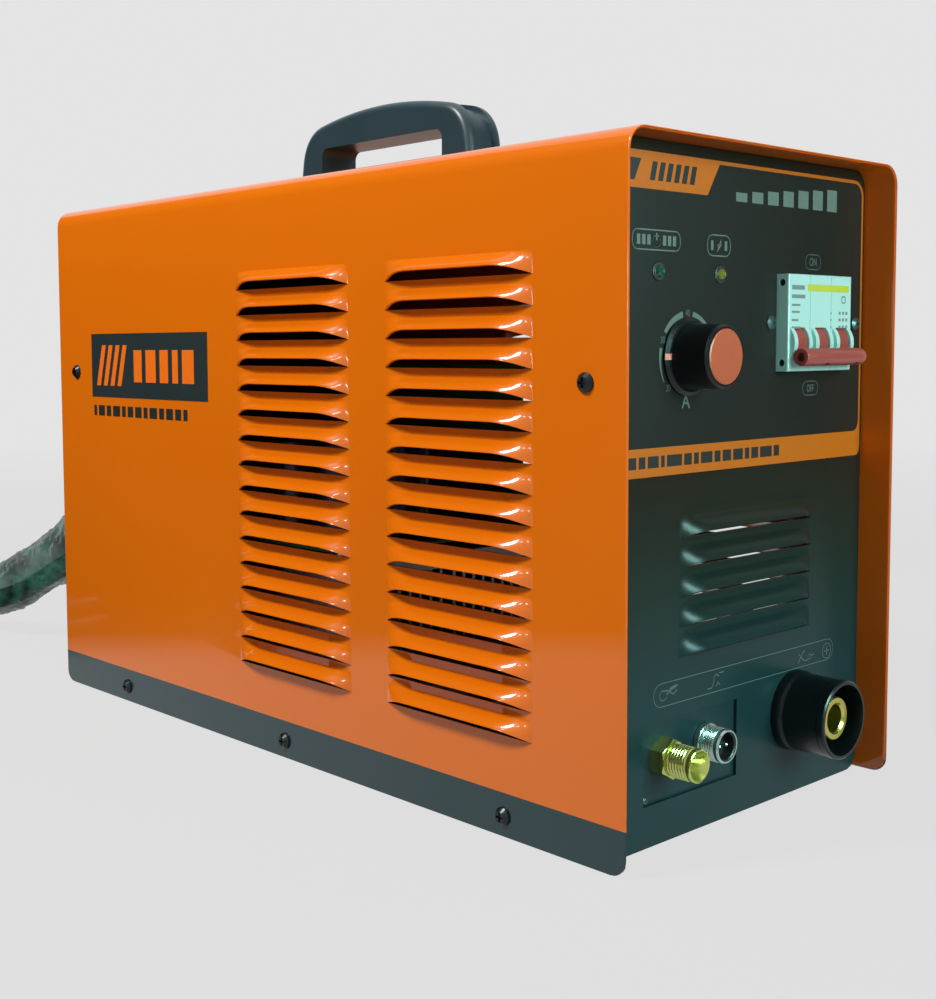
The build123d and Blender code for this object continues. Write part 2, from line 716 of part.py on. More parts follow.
plate_back = panel_back + plate_sheet
with BuildPart() as connector_plate:
    with BuildSketch(front_at((plate_x0 + plate_x1) / 2, (plate_z0 + plate_z1) / 2, panel_back)):
        Rectangle(plate_x1 - plate_x0 + 2 * plate_lap, plate_z1 - plate_z0 + 2 * plate_lap)
    extrude(amount=-plate_sheet)
    drill(torch_hole, plate_sheet, front_at(torch_x, torch_z, panel_back))
    drill(control_hole, plate_sheet, front_at(control_x, control_z, panel_back))
    drill(plate_screw_width + 2 * running, plate_sheet, front_at(*plate_screw, panel_back))
save(connector_plate, "connector_plate")

with BuildPart() as panel_screws:
    for x in breaker_screw_x:
        pan_head(front_at(x, breaker_screw_z, panel_y - label_sheet),
                 label_sheet + panel_sheet + bracket_sheet + screw_grip, head=breaker_screw_head, height=2)
    pan_head(front_at(*plate_screw, panel_back), plate_sheet + screw_grip, plate_screw_width, plate_screw_head, 1.2)
save(panel_screws, "panel_screws")

torch_at = front_at(torch_x, torch_z, panel_back)
torch_nose = torch_proud + panel_sheet       # from the plate's face
torch_r = torch_thread / 2
torch_shank = torch_hole / 2 - slip
torch_flange = torch_hex / 2 + snug
with BuildPart() as torch_connector:
    turn([(torch_bore / 2, -torch_back), (torch_shank, -torch_back), (torch_shank, 0), (torch_flange, 0),
          (torch_flange, 1), (torch_r - 0.9, 1), (torch_r - 0.9, torch_hex_height), (torch_r, torch_hex_height),
          (torch_r, torch_nose - 0.6), (torch_r - 0.6, torch_nose), (torch_r - 1.2, torch_nose),
          (torch_bore / 2 + 0.5, torch_nose - 7), (torch_bore / 2, torch_nose - 7)], torch_at)
    with BuildSketch(torch_at):
        RegularPolygon(torch_hex / 2, 6, rotation=30, major_radius=False)
        Circle(torch_bore / 2 + 1.5, mode=Mode.SUBTRACT)
    extrude(amount=torch_hex_height)
    hex_front = torch_connector.edges().filter_by(GeomType.LINE).filter_by(
        lambda e: abs(e.center().Y - (panel_back - torch_hex_height)) < 0.01)
    chamfer(hex_front, 0.5)
save(torch_connector, "torch_connector")

control_nose = control_proud + panel_sheet
control_r = control_thread / 2
control_shank = control_hole / 2 - slip
control_inner = control_r - 1.4
control_at = front_at(control_x, control_z, panel_back)
with BuildPart() as control_socket:
    turn([(control_inner, 1), (control_inner, control_nose), (control_r - 0.6, control_nose),
          (control_r, control_nose - 0.6), (control_r, 3), (control_r + 1.6, 3), (control_r + 1.6, 0),
          (control_shank, 0), (control_shank, -10), (control_shank - 1.4, -10), (control_shank - 1.4, 1)], control_at)
save(control_socket, "control_socket")

control_face = control_nose - control_depth
pin_spots = [front_at(control_x + side * control_pin_pitch / 2, control_z, panel_back) for side in (-1, 1)]
with BuildPart() as control_socket_insert:
    turn([(0, 1), (control_inner - snug, 1), (control_inner - snug, control_face - 0.4),
          (control_inner - 2 * snug, control_face), (0, control_face)], control_at)
    drill(control_pin + 2 * running, control_nose, *[spot.offset(control_nose) for spot in pin_spots])
save(control_socket_insert, "control_socket_insert")

with BuildPart() as control_socket_pins:
    for spot in pin_spots:
        turn([(0, 1), (control_pin / 2, 1), (control_pin / 2, control_nose - 2.2), (0, control_nose - 1.6)], spot)
save(control_socket_pins, "control_socket_pins")

# The nut of the knob's bush in front of the label, and those of the two connectors behind their plate.
with BuildPart() as panel_nuts:
    for x, y, z, across_flats, hole, thick in (
            (knob_x, panel_y - label_sheet, knob_z, bush_width + 4, bush_width / 2, 2),
            (torch_x, plate_back, torch_z, torch_hex, torch_shank, -5),
            (control_x, plate_back, control_z, control_thread + 2, control_shank, -3)):
        with BuildSketch(front_at(x, z, y)) as nut:
            RegularPolygon(across_flats / 2, 6, rotation=30, major_radius=False)
            Circle(hole + running, mode=Mode.SUBTRACT)
        extrude(nut.sketch, amount=thick)
save(panel_nuts, "panel_nuts")

socket_at = front_at(socket_x, socket_z)
socket_rim = socket_width / 2
socket_floor = socket_proud - socket_well
contact_r = contact_width / 2
with BuildPart() as work_socket_housing:
    turn([(contact_r + snug, -12), (socket_spigot / 2, -12), (socket_spigot / 2, 0), (socket_flange / 2, 0),
          (socket_flange / 2, 3), (socket_rim + 0.6, 4.2), (socket_rim, 6), (socket_rim - 0.3, socket_proud - 4),
          (socket_rim, socket_proud - 3.4), (socket_rim, socket_proud - 0.6), (socket_rim - 0.6, socket_proud),
          (socket_rim - 1.8, socket_proud), (socket_rim - 2.2, socket_floor), (contact_r + snug, socket_floor)],
         socket_at)
save(work_socket_housing, "work_socket_housing")

contact_nose = socket_proud - contact_setback
bore_r = contact_bore / 2
bore_floor = contact_nose - contact_bore_depth
with BuildPart() as work_socket_contact:
    turn([(0, -34), (5, -34), (5, -16), (contact_r, -16), (contact_r, contact_nose - 0.5),
          (contact_r - 0.5, contact_nose), (bore_r + 1, contact_nose), (bore_r, contact_nose - 1),
          (bore_r, bore_floor), (0, bore_floor)], socket_at)
save(work_socket_contact, "work_socket_contact")

with BuildPart() as work_socket_nut:
    with BuildSketch(front_at(socket_x, socket_z, panel_back)):
        RegularPolygon(18, 6, major_radius=False)
        Circle(socket_spigot / 2 + slip, mode=Mode.SUBTRACT)
    extrude(amount=-6)
save(work_socket_nut, "work_socket_nut")

# ---------------------------------------------------------------- rear fittings

fan_inner_y = rear_panel_back - fan_depth
rotor_y = fan_inner_y + fan_spider + 0.5
diagonals = (45, 135, 225, 315)
with BuildPart() as fan_frame:
    block(-fan_size / 2, fan_size / 2, fan_inner_y, rear_panel_back, fan_z - fan_size / 2, fan_z + fan_size / 2)
    fillet(fan_frame.edges().filter_by(Axis.Y), 6)
    drill(fan_bore, 2 * fan_depth, rear_at(0, fan_z, rear_panel_back))
    drill(screw_hole, 2 * fan_depth, *[rear_at(x, z, rear_panel_back) for x, z in fan_screws_at])
    hub = rear_at(0, fan_z, fan_inner_y)
    peg(fan_hub + 2, fan_spider, hub)
    arm_from, arm_to = fan_hub / 2 - 5, fan_bore / 2 + 3
    for angle in diagonals:
        out = Location(((arm_from + arm_to) / 2, 0, 0))
        with Locations(hub.location * Location((0, 0, fan_spider / 2), (0, 0, angle)) * out):
            Box(arm_to - arm_from, 5, fan_spider)
    drill(fan_shaft + 2 * running, fan_depth / 2, rear_at(0, fan_z, rotor_y))
save(fan_frame, "fan_frame")

hub_length = 27
blade_from = fan_hub / 2 - 1.5
blade_to = sqrt((fan_bore / 2 - fan_tip_gap) ** 2 - (blade_width / 2 * cos(radians(blade_angle))) ** 2)
with BuildPart() as fan_rotor:
    plane = rear_at(0, fan_z, rotor_y)
    turn([(0, 0.3 - fan_spider - 0.5), (fan_shaft / 2, 0.3 - fan_spider - 0.5), (fan_shaft / 2, 0), (fan_hub / 2, 0),
          (fan_hub / 2, hub_length - 2), (fan_hub / 2 - 2, hub_length), (0, hub_length)], plane)
    for blade in range(blade_count):
        turned = Location((0, 0, hub_length / 2 + 0.5), (0, 0, 360 / blade_count * blade))
        out = Location(((blade_from + blade_to) / 2, 0, 0), (blade_angle, 0, 0))
        with Locations(plane.location * turned * out):
            Box(blade_to - blade_from, blade_width, blade_sheet)
save(fan_rotor, "fan_rotor")

guard_outer = fan_bore / 2 - 3
with BuildPart() as fan_guard:
    with Locations(rear_at(0, fan_z, rear_panel_y + guard_wire).location):
        for ring in range(guard_rings):
            Torus(guard_outer - ring * guard_pitch, guard_wire / 2)
    with BuildSketch(rear_at(0, fan_z)) as spokes:
        for angle in diagonals[:2]:
            Rectangle(fan_screw_pitch * sqrt(2) + 8, guard_wire * 1.6, rotation=angle)
        with Locations(*[(x, z - fan_z) for x, z in fan_screws_at]):
            Circle(5)
            Circle(screw_clear / 2, mode=Mode.SUBTRACT)
    extrude(spokes.sketch, amount=guard_plate)
save(fan_guard, "fan_guard")

with BuildPart() as fan_screws:
    for x, z in fan_screws_at:
        pan_head(rear_at(x, z, rear_panel_y + guard_plate), guard_plate + panel_sheet + 12)
save(fan_screws, "fan_screws")

gland_at = rear_at(gland_x, gland_z)
gland_r = gland_across / 2
lead_hole = lead_width / 2 + 0.15
with BuildPart() as cable_gland:
    with BuildSketch(gland_at):
        RegularPolygon(gland_r, 6, major_radius=False)
        Circle(lead_hole, mode=Mode.SUBTRACT)
    extrude(amount=5)
    turn([(lead_hole, -9), (gland_hole / 2, -9), (gland_hole / 2, 0), (lead_hole, 0)], gland_at)
    turn([(lead_hole, 5), (gland_r - 1, 5), (gland_r - 1.4, 8.5), (gland_r - 3, gland_nose),
          (lead_hole, gland_nose)], gland_at)
    with BuildSketch(rear_at(gland_x, gland_z, rear_panel_back)) as lock_nut:
        RegularPolygon(gland_r, 6, major_radius=False)
        Circle(gland_hole / 2 - slip, mode=Mode.SUBTRACT)
    extrude(lock_nut.sketch, amount=-4)
save(cable_gland, "cable_gland")

ribs = 4
rib_pitch = (relief_end - gland_nose - 4) / ribs
relief_r = lead_width / 2 + 3.6
with BuildPart() as strain_relief:
    profile = [(0, -lead_inside), (lead_width / 2, -lead_inside), (lead_width / 2, gland_nose), (relief_r, gland_nose)]
    for rib in range(ribs):
        start = gland_nose + 2 + rib * rib_pitch
        outer = relief_r - 0.2 - rib * 0.6
        profile += [(outer, start), (outer - 0.3, start + 0.6 * rib_pitch),
                    (outer - 1.2, start + 0.66 * rib_pitch), (outer - 1.3, start + 0.93 * rib_pitch)]
    profile += [(lead_width / 2 + 0.6, relief_end), (0, relief_end)]
    turn(profile, gland_at)
save(strain_relief, "strain_relief")

inlet_at = rear_at(inlet_x, inlet_z)
barb_end = barb_start + barb_count * barb_pitch
barb_profile = []
for barb in range(barb_count):
    start = barb_start + barb * barb_pitch
    barb_profile += [(barb_width / 2, start), (barb_root / 2, start + barb_pitch)]
with BuildPart() as gas_inlet:
    turn([(inlet_bore / 2, barb_end), (inlet_bore / 2, -inlet_back), (inlet_hole / 2, -inlet_back),
          (inlet_hole / 2, 0), (barb_root / 2, 0), (barb_root / 2, barb_start)] + barb_profile, inlet_at)
    with BuildSketch(inlet_at):
        RegularPolygon(inlet_hole / 2 + 2.5, 6, major_radius=False)
        Circle(inlet_bore / 2 + 1, mode=Mode.SUBTRACT)
    extrude(amount=8)
save(gas_inlet, "gas_inlet")

stud_washer = 1.2
stud_inner = 14          # how far the stud reaches in from the panel
with BuildPart() as earth_stud:
    peg(stud_width, stud_length, rear_at(stud_x, stud_z, rear_panel_back - stud_inner))
    with BuildSketch(rear_at(stud_x, stud_z)):
        Circle(stud_width / 2 + 4)
    extrude(amount=stud_washer)
    with BuildSketch(rear_at(stud_x, stud_z, rear_panel_y + stud_washer)):
        RegularPolygon(stud_width / 2 + 2, 6, major_radius=False)
    extrude(amount=5)
    with BuildSketch(rear_at(stud_x, stud_z, rear_panel_back)):
        RegularPolygon(stud_width / 2 + 2, 6, major_radius=False)
    extrude(amount=-5)
save(earth_stud, "earth_stud")

# ---------------------------------------------------------------- inside

rail_inset = 10
rail_half = sink_outer_x + 2
with BuildPart() as heatsink_rails:
    for y in (sink_y0 + rail_inset, sink_y1 - rail_inset - rail_width):
        block(-rail_half, rail_half, y, y + rail_width, pan_sheet, rail_top)
save(heatsink_rails, "heatsink_rails")

with BuildPart() as heatsinks:
    for x0, x1 in ((-sink_outer_x, -sink_inner_x), (sink_inner_x, sink_outer_x)):
        block(x0, x1, sink_y0, sink_y1, sink_top - sink_base, sink_top)
        gaps = int((x1 - x0) // fin_pitch)
        step = (x1 - x0 - fin_sheet) / gaps
        for fin in range(gaps + 1):
            left = x0 + fin * step
            block(left, left + fin_sheet, sink_y0, sink_y1, rail_top, sink_top - sink_base)
save(heatsinks, "heatsinks")

standoff_x = sink_outer_x - 6
standoff_inset = 8
with BuildPart() as board_standoffs:
    for x in (-standoff_x, standoff_x):
        for y in (sink_y0 + standoff_inset, sink_y1 - standoff_inset):
            peg(standoff_width, standoff, Plane((x, y, sink_top)))
save(board_standoffs, "board_standoffs")

board_half = sink_outer_x + 4
board_lap = 10
board_z = sink_top + standoff
board_top = board_z + board_sheet
with BuildPart() as main_board:
    block(-board_half, board_half, sink_y0 - board_lap, sink_y1 + board_lap, board_z, board_top)
save(main_board, "main_board")

capacitor_middle = Plane((-29, 33, board_top))
with BuildPart() as bus_capacitors:
    with Locations(capacitor_middle.location):
        with GridLocations(capacitor_width + 7, capacitor_width + 11, 2, 2):
            Cylinder(capacitor_width / 2, capacitor_height, align=(Align.CENTER, Align.CENTER, Align.MIN))
    fillet(bus_capacitors.edges().filter_by(GeomType.CIRCLE).group_by(Axis.Z)[-1], 1.5)
save(bus_capacitors, "bus_capacitors")

with BuildPart() as control_board:
    block(control_board_x, control_board_x + board_sheet, sink_y0, sink_y1, board_top, board_top + control_board_height)
save(control_board, "control_board")

window_middle = core_limb / 2 + core_window / 2
with BuildPart() as transformer_core:
    block(core_x - core_width / 2, core_x + core_width / 2, core_y - core_length / 2, core_y + core_length / 2,
          pan_sheet, pan_sheet + core_height)
    for middle in (core_x - window_middle, core_x + window_middle):
        block(middle - core_window / 2, middle + core_window / 2, core_y - core_length, core_y + core_length,
              pan_sheet + core_yoke, pan_sheet + core_height - core_yoke, mode=Mode.SUBTRACT)
save(transformer_core, "transformer_core")

winding_half = core_limb / 2 + core_window - winding_gap
limb_half = core_limb / 2 + slip
limb_end = core_length / 2 + slip
with BuildPart() as transformer_winding:
    block(core_x - winding_half, core_x + winding_half, core_y - winding_length / 2, core_y + winding_length / 2,
          pan_sheet + core_yoke + winding_gap, pan_sheet + core_height - core_yoke - winding_gap)
    fillet(transformer_winding.edges().filter_by(Axis.Z), 8)
    block(core_x - limb_half, core_x + limb_half, core_y - limb_end, core_y + limb_end,
          pan_sheet, pan_sheet + core_height, mode=Mode.SUBTRACT)
save(transformer_winding, "transformer_winding")

choke_reach = choke_ring + choke_thick / 2 + 1
with BuildPart() as output_choke:
    with Locations((choke_x, choke_y, pan_sheet + choke_thick / 2 + snug)):
        Torus(choke_ring, choke_thick / 2)
    block(choke_x - choke_reach, choke_x + choke_reach, choke_y - choke_reach, choke_y + choke_reach,
          -choke_thick, pan_sheet, mode=Mode.SUBTRACT)
    block(choke_x - choke_ring, choke_x + choke_ring, choke_y - choke_ring, choke_y + choke_ring,
          pan_sheet, pan_sheet + 3)
save(output_choke, "output_choke")

valve_y1 = rear_panel_y - inlet_back
valve_half = valve_width / 2
valve_middle = valve_y1 - valve_length / 2
valve_top = inlet_z + valve_height / 2
valve_foot = 9
plunger_seat = inlet_z + 6
with BuildPart() as valve_body:
    block(inlet_x - valve_half, inlet_x + valve_half, valve_y1 - valve_length, valve_y1,
          inlet_z - valve_height / 2, valve_top)
    block(inlet_x - valve_half, inlet_x + valve_half, valve_middle - valve_foot, valve_middle + valve_foot,
          pan_sheet, inlet_z - valve_height / 2)
    peg(tube_width, tube_height, Plane((inlet_x, valve_middle, valve_top)))
    bore_top = plunger_seat + plunger_length + plunger_travel + slip
    drill(plunger_width + 2 * running, bore_top - plunger_seat, Plane((inlet_x, valve_middle, bore_top)))
save(valve_body, "valve_body")

coil_half = valve_coil_side / 2
with BuildPart() as valve_coil:
    block(inlet_x - coil_half, inlet_x + coil_half, valve_middle - coil_half, valve_middle + coil_half - slip,
          valve_top, valve_top + valve_coil_height)
    fillet(valve_coil.edges().filter_by(Axis.Z), 4)
    drill(tube_width + 0.3, valve_coil_height, Plane((inlet_x, valve_middle, valve_top + valve_coil_height)))
save(valve_coil, "valve_coil")

with BuildPart() as valve_plunger:
    peg(plunger_width, plunger_length, Plane((inlet_x, valve_middle, plunger_seat)))
save(valve_plunger, "valve_plunger")


def hose(points, radii, width):
    # A round tube along straight runs joined by tangent arcs; gives its length.
    with BuildLine() as route:
        FilletPolyline(*points, radius=radii)
    path = route.wire()
    with BuildSketch(Plane(origin=path @ 0, z_dir=path % 0)) as section:
        Circle(width / 2)
    sweep(section.sketch, path=path)
    return path.length


def corner_radii(points):
    # Each arc is as large as its two runs allow.
    radii = []
    for before, here, after in zip(points, points[1:], points[2:]):
        a = Vector(*here) - Vector(*before)
        b = Vector(*after) - Vector(*here)
        radii.append(0.45 * min(a.length, b.length) / tan(radians(a.get_angle(b)) / 2))
    return radii


# The gas hose runs forward beside the boards and across in front of the transformer.
hose_x = inlet_x + 5
hose_front = core_y - winding_length / 2 - 14
hose_points = [
    (hose_x, valve_y1 - valve_length, inlet_z),
    (hose_x, valve_y1 - valve_length - 37.5, inlet_z),
    (hose_x - 1, 10, inlet_z - 4),
    (hose_x, core_y - 2, torch_z),
    (choke_x, hose_front, torch_z),
    (torch_x, hose_front, torch_z),
    (torch_x, panel_back + torch_back, torch_z),
]
with BuildPart() as gas_hose:
    hose(hose_points, [min(radius, 60) for radius in corner_radii(hose_points)], hose_width)
save(gas_hose, "gas_hose")

# ---------------------------------------------------------------- power lead

lead_radius = lead_width / 2
ring_bottom = tie_sheet + tie_gap      # the coil lies on its tie
lower_layer = ring_bottom + lead_radius
upper_layer = lower_layer + lead_width
lead_points = [
    (gland_x, rear_panel_y + relief_end, gland_z),
    (gland_x, 290, gland_z),
    (gland_x - 0.6, 320, 77),
    (gland_x - 10.5, 364.5, 49.5),
    (gland_x - 19.4, 395, 32),
    (gland_x - 29, 427, upper_layer),
    (gland_x - 37.5, 454.5, upper_layer),
]
lead_radii = corner_radii(lead_points)
with BuildPart() as power_cable:
    lead_length = hose(lead_points, lead_radii, lead_width)
save(power_cable, "power_cable")

# The tail leaves the coil on its left and rises to the plug, which lies on the floor.
tail_x = coil_x - coil_outer
tail_points = [
    (tail_x, coil_y, lower_layer),
    (tail_x, coil_y - 36, lower_layer),
    (tail_x + 5.2, coil_y - 86, plug_width / 2),
    (tail_x + 12.7, coil_y - 121, plug_width / 2),
]
tail_radii = corner_radii(tail_points)
with BuildPart() as cable_tail:
    tail_length = hose(tail_points, tail_radii, lead_width)
save(cable_tail, "cable_tail")

ring_in = coil_inner - lead_radius
ring_out = coil_outer + lead_radius
ring_middle = (ring_in + ring_out) / 2
ring_top = upper_layer + lead_radius
ring_width, ring_height = ring_out - ring_in, ring_top - ring_bottom
ring_level = (ring_bottom + ring_top) / 2
with BuildPart() as cable_coil:
    with BuildSketch(Plane((coil_x, coil_y, 0), x_dir=(1, 0, 0), z_dir=(0, -1, 0))):
        with Locations((ring_middle, ring_level)):
            RectangleRounded(ring_width, ring_height, lead_radius - slip)
    revolve(axis=Axis((coil_x, coil_y, 0), (0, 0, 1)))
save(cable_coil, "cable_coil")

with BuildPart() as cable_tie:
    with BuildSketch(Plane((coil_x - tie_width / 2, coil_y, 0), x_dir=(0, 1, 0), z_dir=(1, 0, 0))):
        around = tie_gap + tie_sheet
        with Locations((ring_middle, ring_level)):
            RectangleRounded(ring_width + 2 * around, ring_height + 2 * around, lead_radius)
            RectangleRounded(ring_width + 2 * tie_gap, ring_height + 2 * tie_gap, lead_radius - 0.5,
                             mode=Mode.SUBTRACT)
    extrude(amount=tie_width)
save(cable_tie, "cable_tie")

# The plug: a cord grip, a waisted body and an open shroud round the pins.
plug_run = Vector(*tail_points[-1]) - Vector(*tail_points[-2])
plug_at = Plane(tail_points[-1], x_dir=(0, 0, 1), z_dir=plug_run)
plug_half = plug_width / 2
grip_r = lead_radius + 6
with BuildPart() as plug_body:
    turn([(0, 0), (grip_r - 2, 0), (grip_r, 2), (grip_r, 16), (plug_half - 10, 18), (plug_half - 7, 32),
          (plug_half - 5.5, plug_floor - 10), (plug_half - 1, plug_floor - 8), (plug_half, plug_floor - 6),
          (plug_half, plug_length - 1), (plug_half - 1, plug_length), (plug_half - plug_shroud, plug_length),
          (plug_half - plug_shroud, plug_floor), (0, plug_floor)], plug_at)
save(plug_body, "plug_body")

with BuildPart() as plug_pins:
    with Locations(plug_at.offset(plug_floor).location):
        with PolarLocations(plug_pin_circle / 2, 4, start_angle=45):
            Cylinder(plug_pin / 2, plug_pin_length, align=(Align.CENTER, Align.CENTER, Align.MIN))
save(plug_pins, "plug_pins")

if __name__ == "__main__":
    print("lead radii", [round(r) for r in lead_radii], "length", round(lead_length))
    print("tail radii", [round(r) for r in tail_radii], "length", round(tail_length))
    print("tube volume share", round(power_cable.part.volume / (pi * lead_radius**2 * lead_length), 4))
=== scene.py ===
import json
import bpy
import bmesh
from math import cos, degrees, hypot, pi, radians, sin, sqrt
from mathutils import Matrix, Vector, noise


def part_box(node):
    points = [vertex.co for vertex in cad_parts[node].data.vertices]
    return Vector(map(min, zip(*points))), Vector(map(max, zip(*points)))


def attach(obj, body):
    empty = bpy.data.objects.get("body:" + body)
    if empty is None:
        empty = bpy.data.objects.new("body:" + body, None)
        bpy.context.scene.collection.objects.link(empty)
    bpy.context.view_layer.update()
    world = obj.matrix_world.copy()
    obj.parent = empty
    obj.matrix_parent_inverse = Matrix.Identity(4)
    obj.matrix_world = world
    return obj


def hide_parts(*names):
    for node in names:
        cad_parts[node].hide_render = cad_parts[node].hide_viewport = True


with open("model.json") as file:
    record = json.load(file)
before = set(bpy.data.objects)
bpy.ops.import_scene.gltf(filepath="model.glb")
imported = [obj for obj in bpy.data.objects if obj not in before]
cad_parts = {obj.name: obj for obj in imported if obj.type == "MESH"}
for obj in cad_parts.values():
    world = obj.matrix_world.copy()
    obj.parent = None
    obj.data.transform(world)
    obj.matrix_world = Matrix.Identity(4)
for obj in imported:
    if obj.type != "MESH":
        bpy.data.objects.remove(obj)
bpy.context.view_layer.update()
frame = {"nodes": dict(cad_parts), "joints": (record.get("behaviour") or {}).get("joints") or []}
nodes = frame["nodes"]
mm = 0.001

badgeThick = 0.25 * mm
coverLow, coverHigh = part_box("cover_left")[0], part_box("cover_right")[1]
halfWidth = -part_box("side_badges")[0][0] - badgeThick      # the badge lies on the side wall
frontEdge, rearEdge = coverLow[1], coverHigh[1]
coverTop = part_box("cover_top")[1][2]
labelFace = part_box("front_label")[0][1]
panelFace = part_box("front_label")[1][1]


# small helpers

def tint(r, g, b):
    # a screen colour in 0 to 255 as the linear colour that a shader takes
    def one(value):
        value = value / 255
        return value / 12.92 if value < 0.04045 else ((value + 0.055) / 1.055) ** 2.4
    return (one(r), one(g), one(b), 1)


def acting(operation, swapped=False):
    # an operator of a wire; a reflected one takes its two values the other way round
    def act(wire, other):
        first, second = (other, wire) if swapped else (wire, other)
        return wire.graph.node("ShaderNodeMath", {"operation": operation}, {0: first, 1: second})
    return act


class Wire:
    # a shader value that adds, scales and compares like a number
    def __init__(self, graph, socket):
        self.graph, self.socket = graph, socket

    __add__, __radd__ = acting("ADD"), acting("ADD", True)
    __sub__, __rsub__ = acting("SUBTRACT"), acting("SUBTRACT", True)
    __mul__, __rmul__ = acting("MULTIPLY"), acting("MULTIPLY", True)
    __gt__, __lt__ = acting("GREATER_THAN"), acting("LESS_THAN")

    def __abs__(self):
        return acting("ABSOLUTE")(self, 0)


class Graph:
    # a node tree, whose nodes are all made and joined here
    def __init__(self, tree):
        self.tree = tree

    def node(self, kind, settings=None, inputs=None, output=0):
        made = self.tree.nodes.new(kind)
        for label, value in (settings or {}).items():
            if label == "stops":
                while len(made.color_ramp.elements) < len(value):
                    made.color_ramp.elements.new(0.5)
                for element, (place, colour) in zip(made.color_ramp.elements, value):
                    element.position, element.color = place, colour
            else:
                setattr(made, label, value)
        for label, value in (inputs or {}).items():
            self.feed(made.inputs[label], value)
        return Wire(self, made.outputs[output])

    def feed(self, socket, value):
        if isinstance(value, Wire):
            self.tree.links.new(value.socket, socket)
        else:
            socket.default_value = value

    def spot(self):
        return self.node("ShaderNodeTexCoord", output="Object")

    def ray(self, kind):
        return self.node("ShaderNodeLightPath", output=f"Is {kind} Ray")


class Finish(Graph):
    # a material around one main shader, whose sockets are set by name
    def __init__(self, name, **sockets):
        self.material = bpy.data.materials.new(name)
        self.material.use_nodes = True
        super().__init__(self.material.node_tree)
        self.shader = self.tree.nodes["Principled BSDF"]
        for label, value in sockets.items():
            self.set(label, value)

    def set(self, label, value):
        self.feed(self.shader.inputs[label.replace("_", " ").title().replace("Ior", "IOR")], value)
        return self

    def axes(self):
        split = self.node("ShaderNodeSeparateXYZ", inputs={0: self.spot()}).socket.node
        return [Wire(self, split.outputs[i]) for i in range(3)]

    def grain(self, scale, detail, stretch=(1, 1, 1)):
        moved = self.node("ShaderNodeVectorMath", {"operation": "MULTIPLY"}, {0: self.spot(), 1: stretch})
        return self.node("ShaderNodeTexNoise", inputs={
            "Vector": moved, "Scale": scale, "Detail": detail})

    def blend(self, share, first, second):
        return self.node("ShaderNodeMix", {"data_type": "RGBA"}, {0: share, 6: first, 7: second}, 2)

    def clamped(self, value, low, high):
        return self.node("ShaderNodeMapRange", inputs={"Value": value, "From Min": low, "From Max": high})

    def relief(self, height, strength, depth):
        self.set("normal", self.node("ShaderNodeBump", inputs={
            "Strength": strength, "Distance": depth, "Height": height}))


def grained(name, grain, dark, pale, relief=None, **sockets):
    # a finish that drifts between two screen colours; relief is a grain, its strength and its depth
    made = Finish(name, **sockets)
    made.set("base_color", made.blend(made.grain(*grain), tint(*dark), tint(*pale)))
    if relief:
        bumps, strength, depth = relief
        made.relief(made.grain(*bumps), strength, depth)
    return made


def dress(finish, *names):
    for name in names:
        for slot in nodes[name].material_slots:
            slot.material = finish.material


def newObject(name, data):
    made = bpy.data.objects.new(name, data)
    bpy.context.collection.objects.link(made)
    return made


def addPiece(name, mesh, finish, body="case", replaced=(), bend=35):
    piece = newObject(name, mesh)
    mesh.materials.clear()
    mesh.materials.append(finish.material)
    if bend:
        mesh.shade_smooth()
        mesh.set_sharp_from_angle(angle=radians(bend))
    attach(piece, body)
    if replaced:
        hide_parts(*replaced)
    return piece


def meshOf(points, faces):
    mesh = bpy.data.meshes.new("shape")
    mesh.from_pydata([tuple(p) for p in points], [], faces)
    shape = bmesh.new()
    shape.from_mesh(mesh)
    bmesh.ops.remove_doubles(shape, verts=shape.verts, dist=1e-6)
    bmesh.ops.dissolve_degenerate(shape, edges=shape.edges, dist=1e-7)
    shape.to_mesh(mesh)
    shape.free()
    mesh.update()
    return mesh


def settled(data, thickness=0):
    # the mesh that a curve, a line of type or a sheet with its thickness gives
    worker = newObject("worker", data)
    if thickness:
        shell = worker.modifiers.new("shell", "SOLIDIFY")
        shell.thickness, shell.offset = thickness, -1
    made = bpy.data.meshes.new_from_object(worker.evaluated_get(bpy.context.evaluated_depsgraph_get()))
    bpy.data.objects.remove(worker)
    return made


def hoops(rows, around, closed=False):
    # the faces between rings of points, and from the last ring to the first if closed
    faces = []
    for row in range(rows if closed else rows - 1):
        a, b = row * around, (row + 1) % rows * around
        faces += [(a + i, a + (i + 1) % around, b + (i + 1) % around, b + i) for i in range(around)]
    return faces


def turned(profile, stand, steps, closed=False):
    # a profile of (radius, height) in mm turned about a frame's z; a radius may be a function of the angle
    points = []
    for radius, height in profile:
        for i in range(steps):
            angle = 2 * pi * i / steps
            reach = radius(angle) if callable(radius) else radius
            points.append(stand @ (Vector((reach * cos(angle), reach * sin(angle), height)) * mm))
    return meshOf(points, hoops(len(profile), steps, closed))


def facing(origin, direction):
    # a frame whose z runs along direction
    z = Vector(direction).normalized()
    x = Vector((0, 0, 1)).cross(z).normalized()
    y = z.cross(x)
    return Matrix.Translation(origin) @ Matrix((x, y, z)).transposed().to_4x4()


def bar(x0, x1, z0, z1):
    return [(x0, z0), (x1, z0), (x1, z1), (x0, z1)]


def inMetres(corners):
    return [(x * mm, z * mm) for x, z in corners]


def walls(start, count):
    # the side faces between an outline and its copy, whose points follow it
    pairs = [(start + i, start + (i + 1) % count) for i in range(count)]
    return [(a, a + count, b + count, b) for a, b in pairs]


def merged(*shapes):
    points, faces = [], []
    for somePoints, someFaces in shapes:
        faces += [tuple(i + len(points) for i in face) for face in someFaces]
        points += list(somePoints)
    return points, faces


# camera

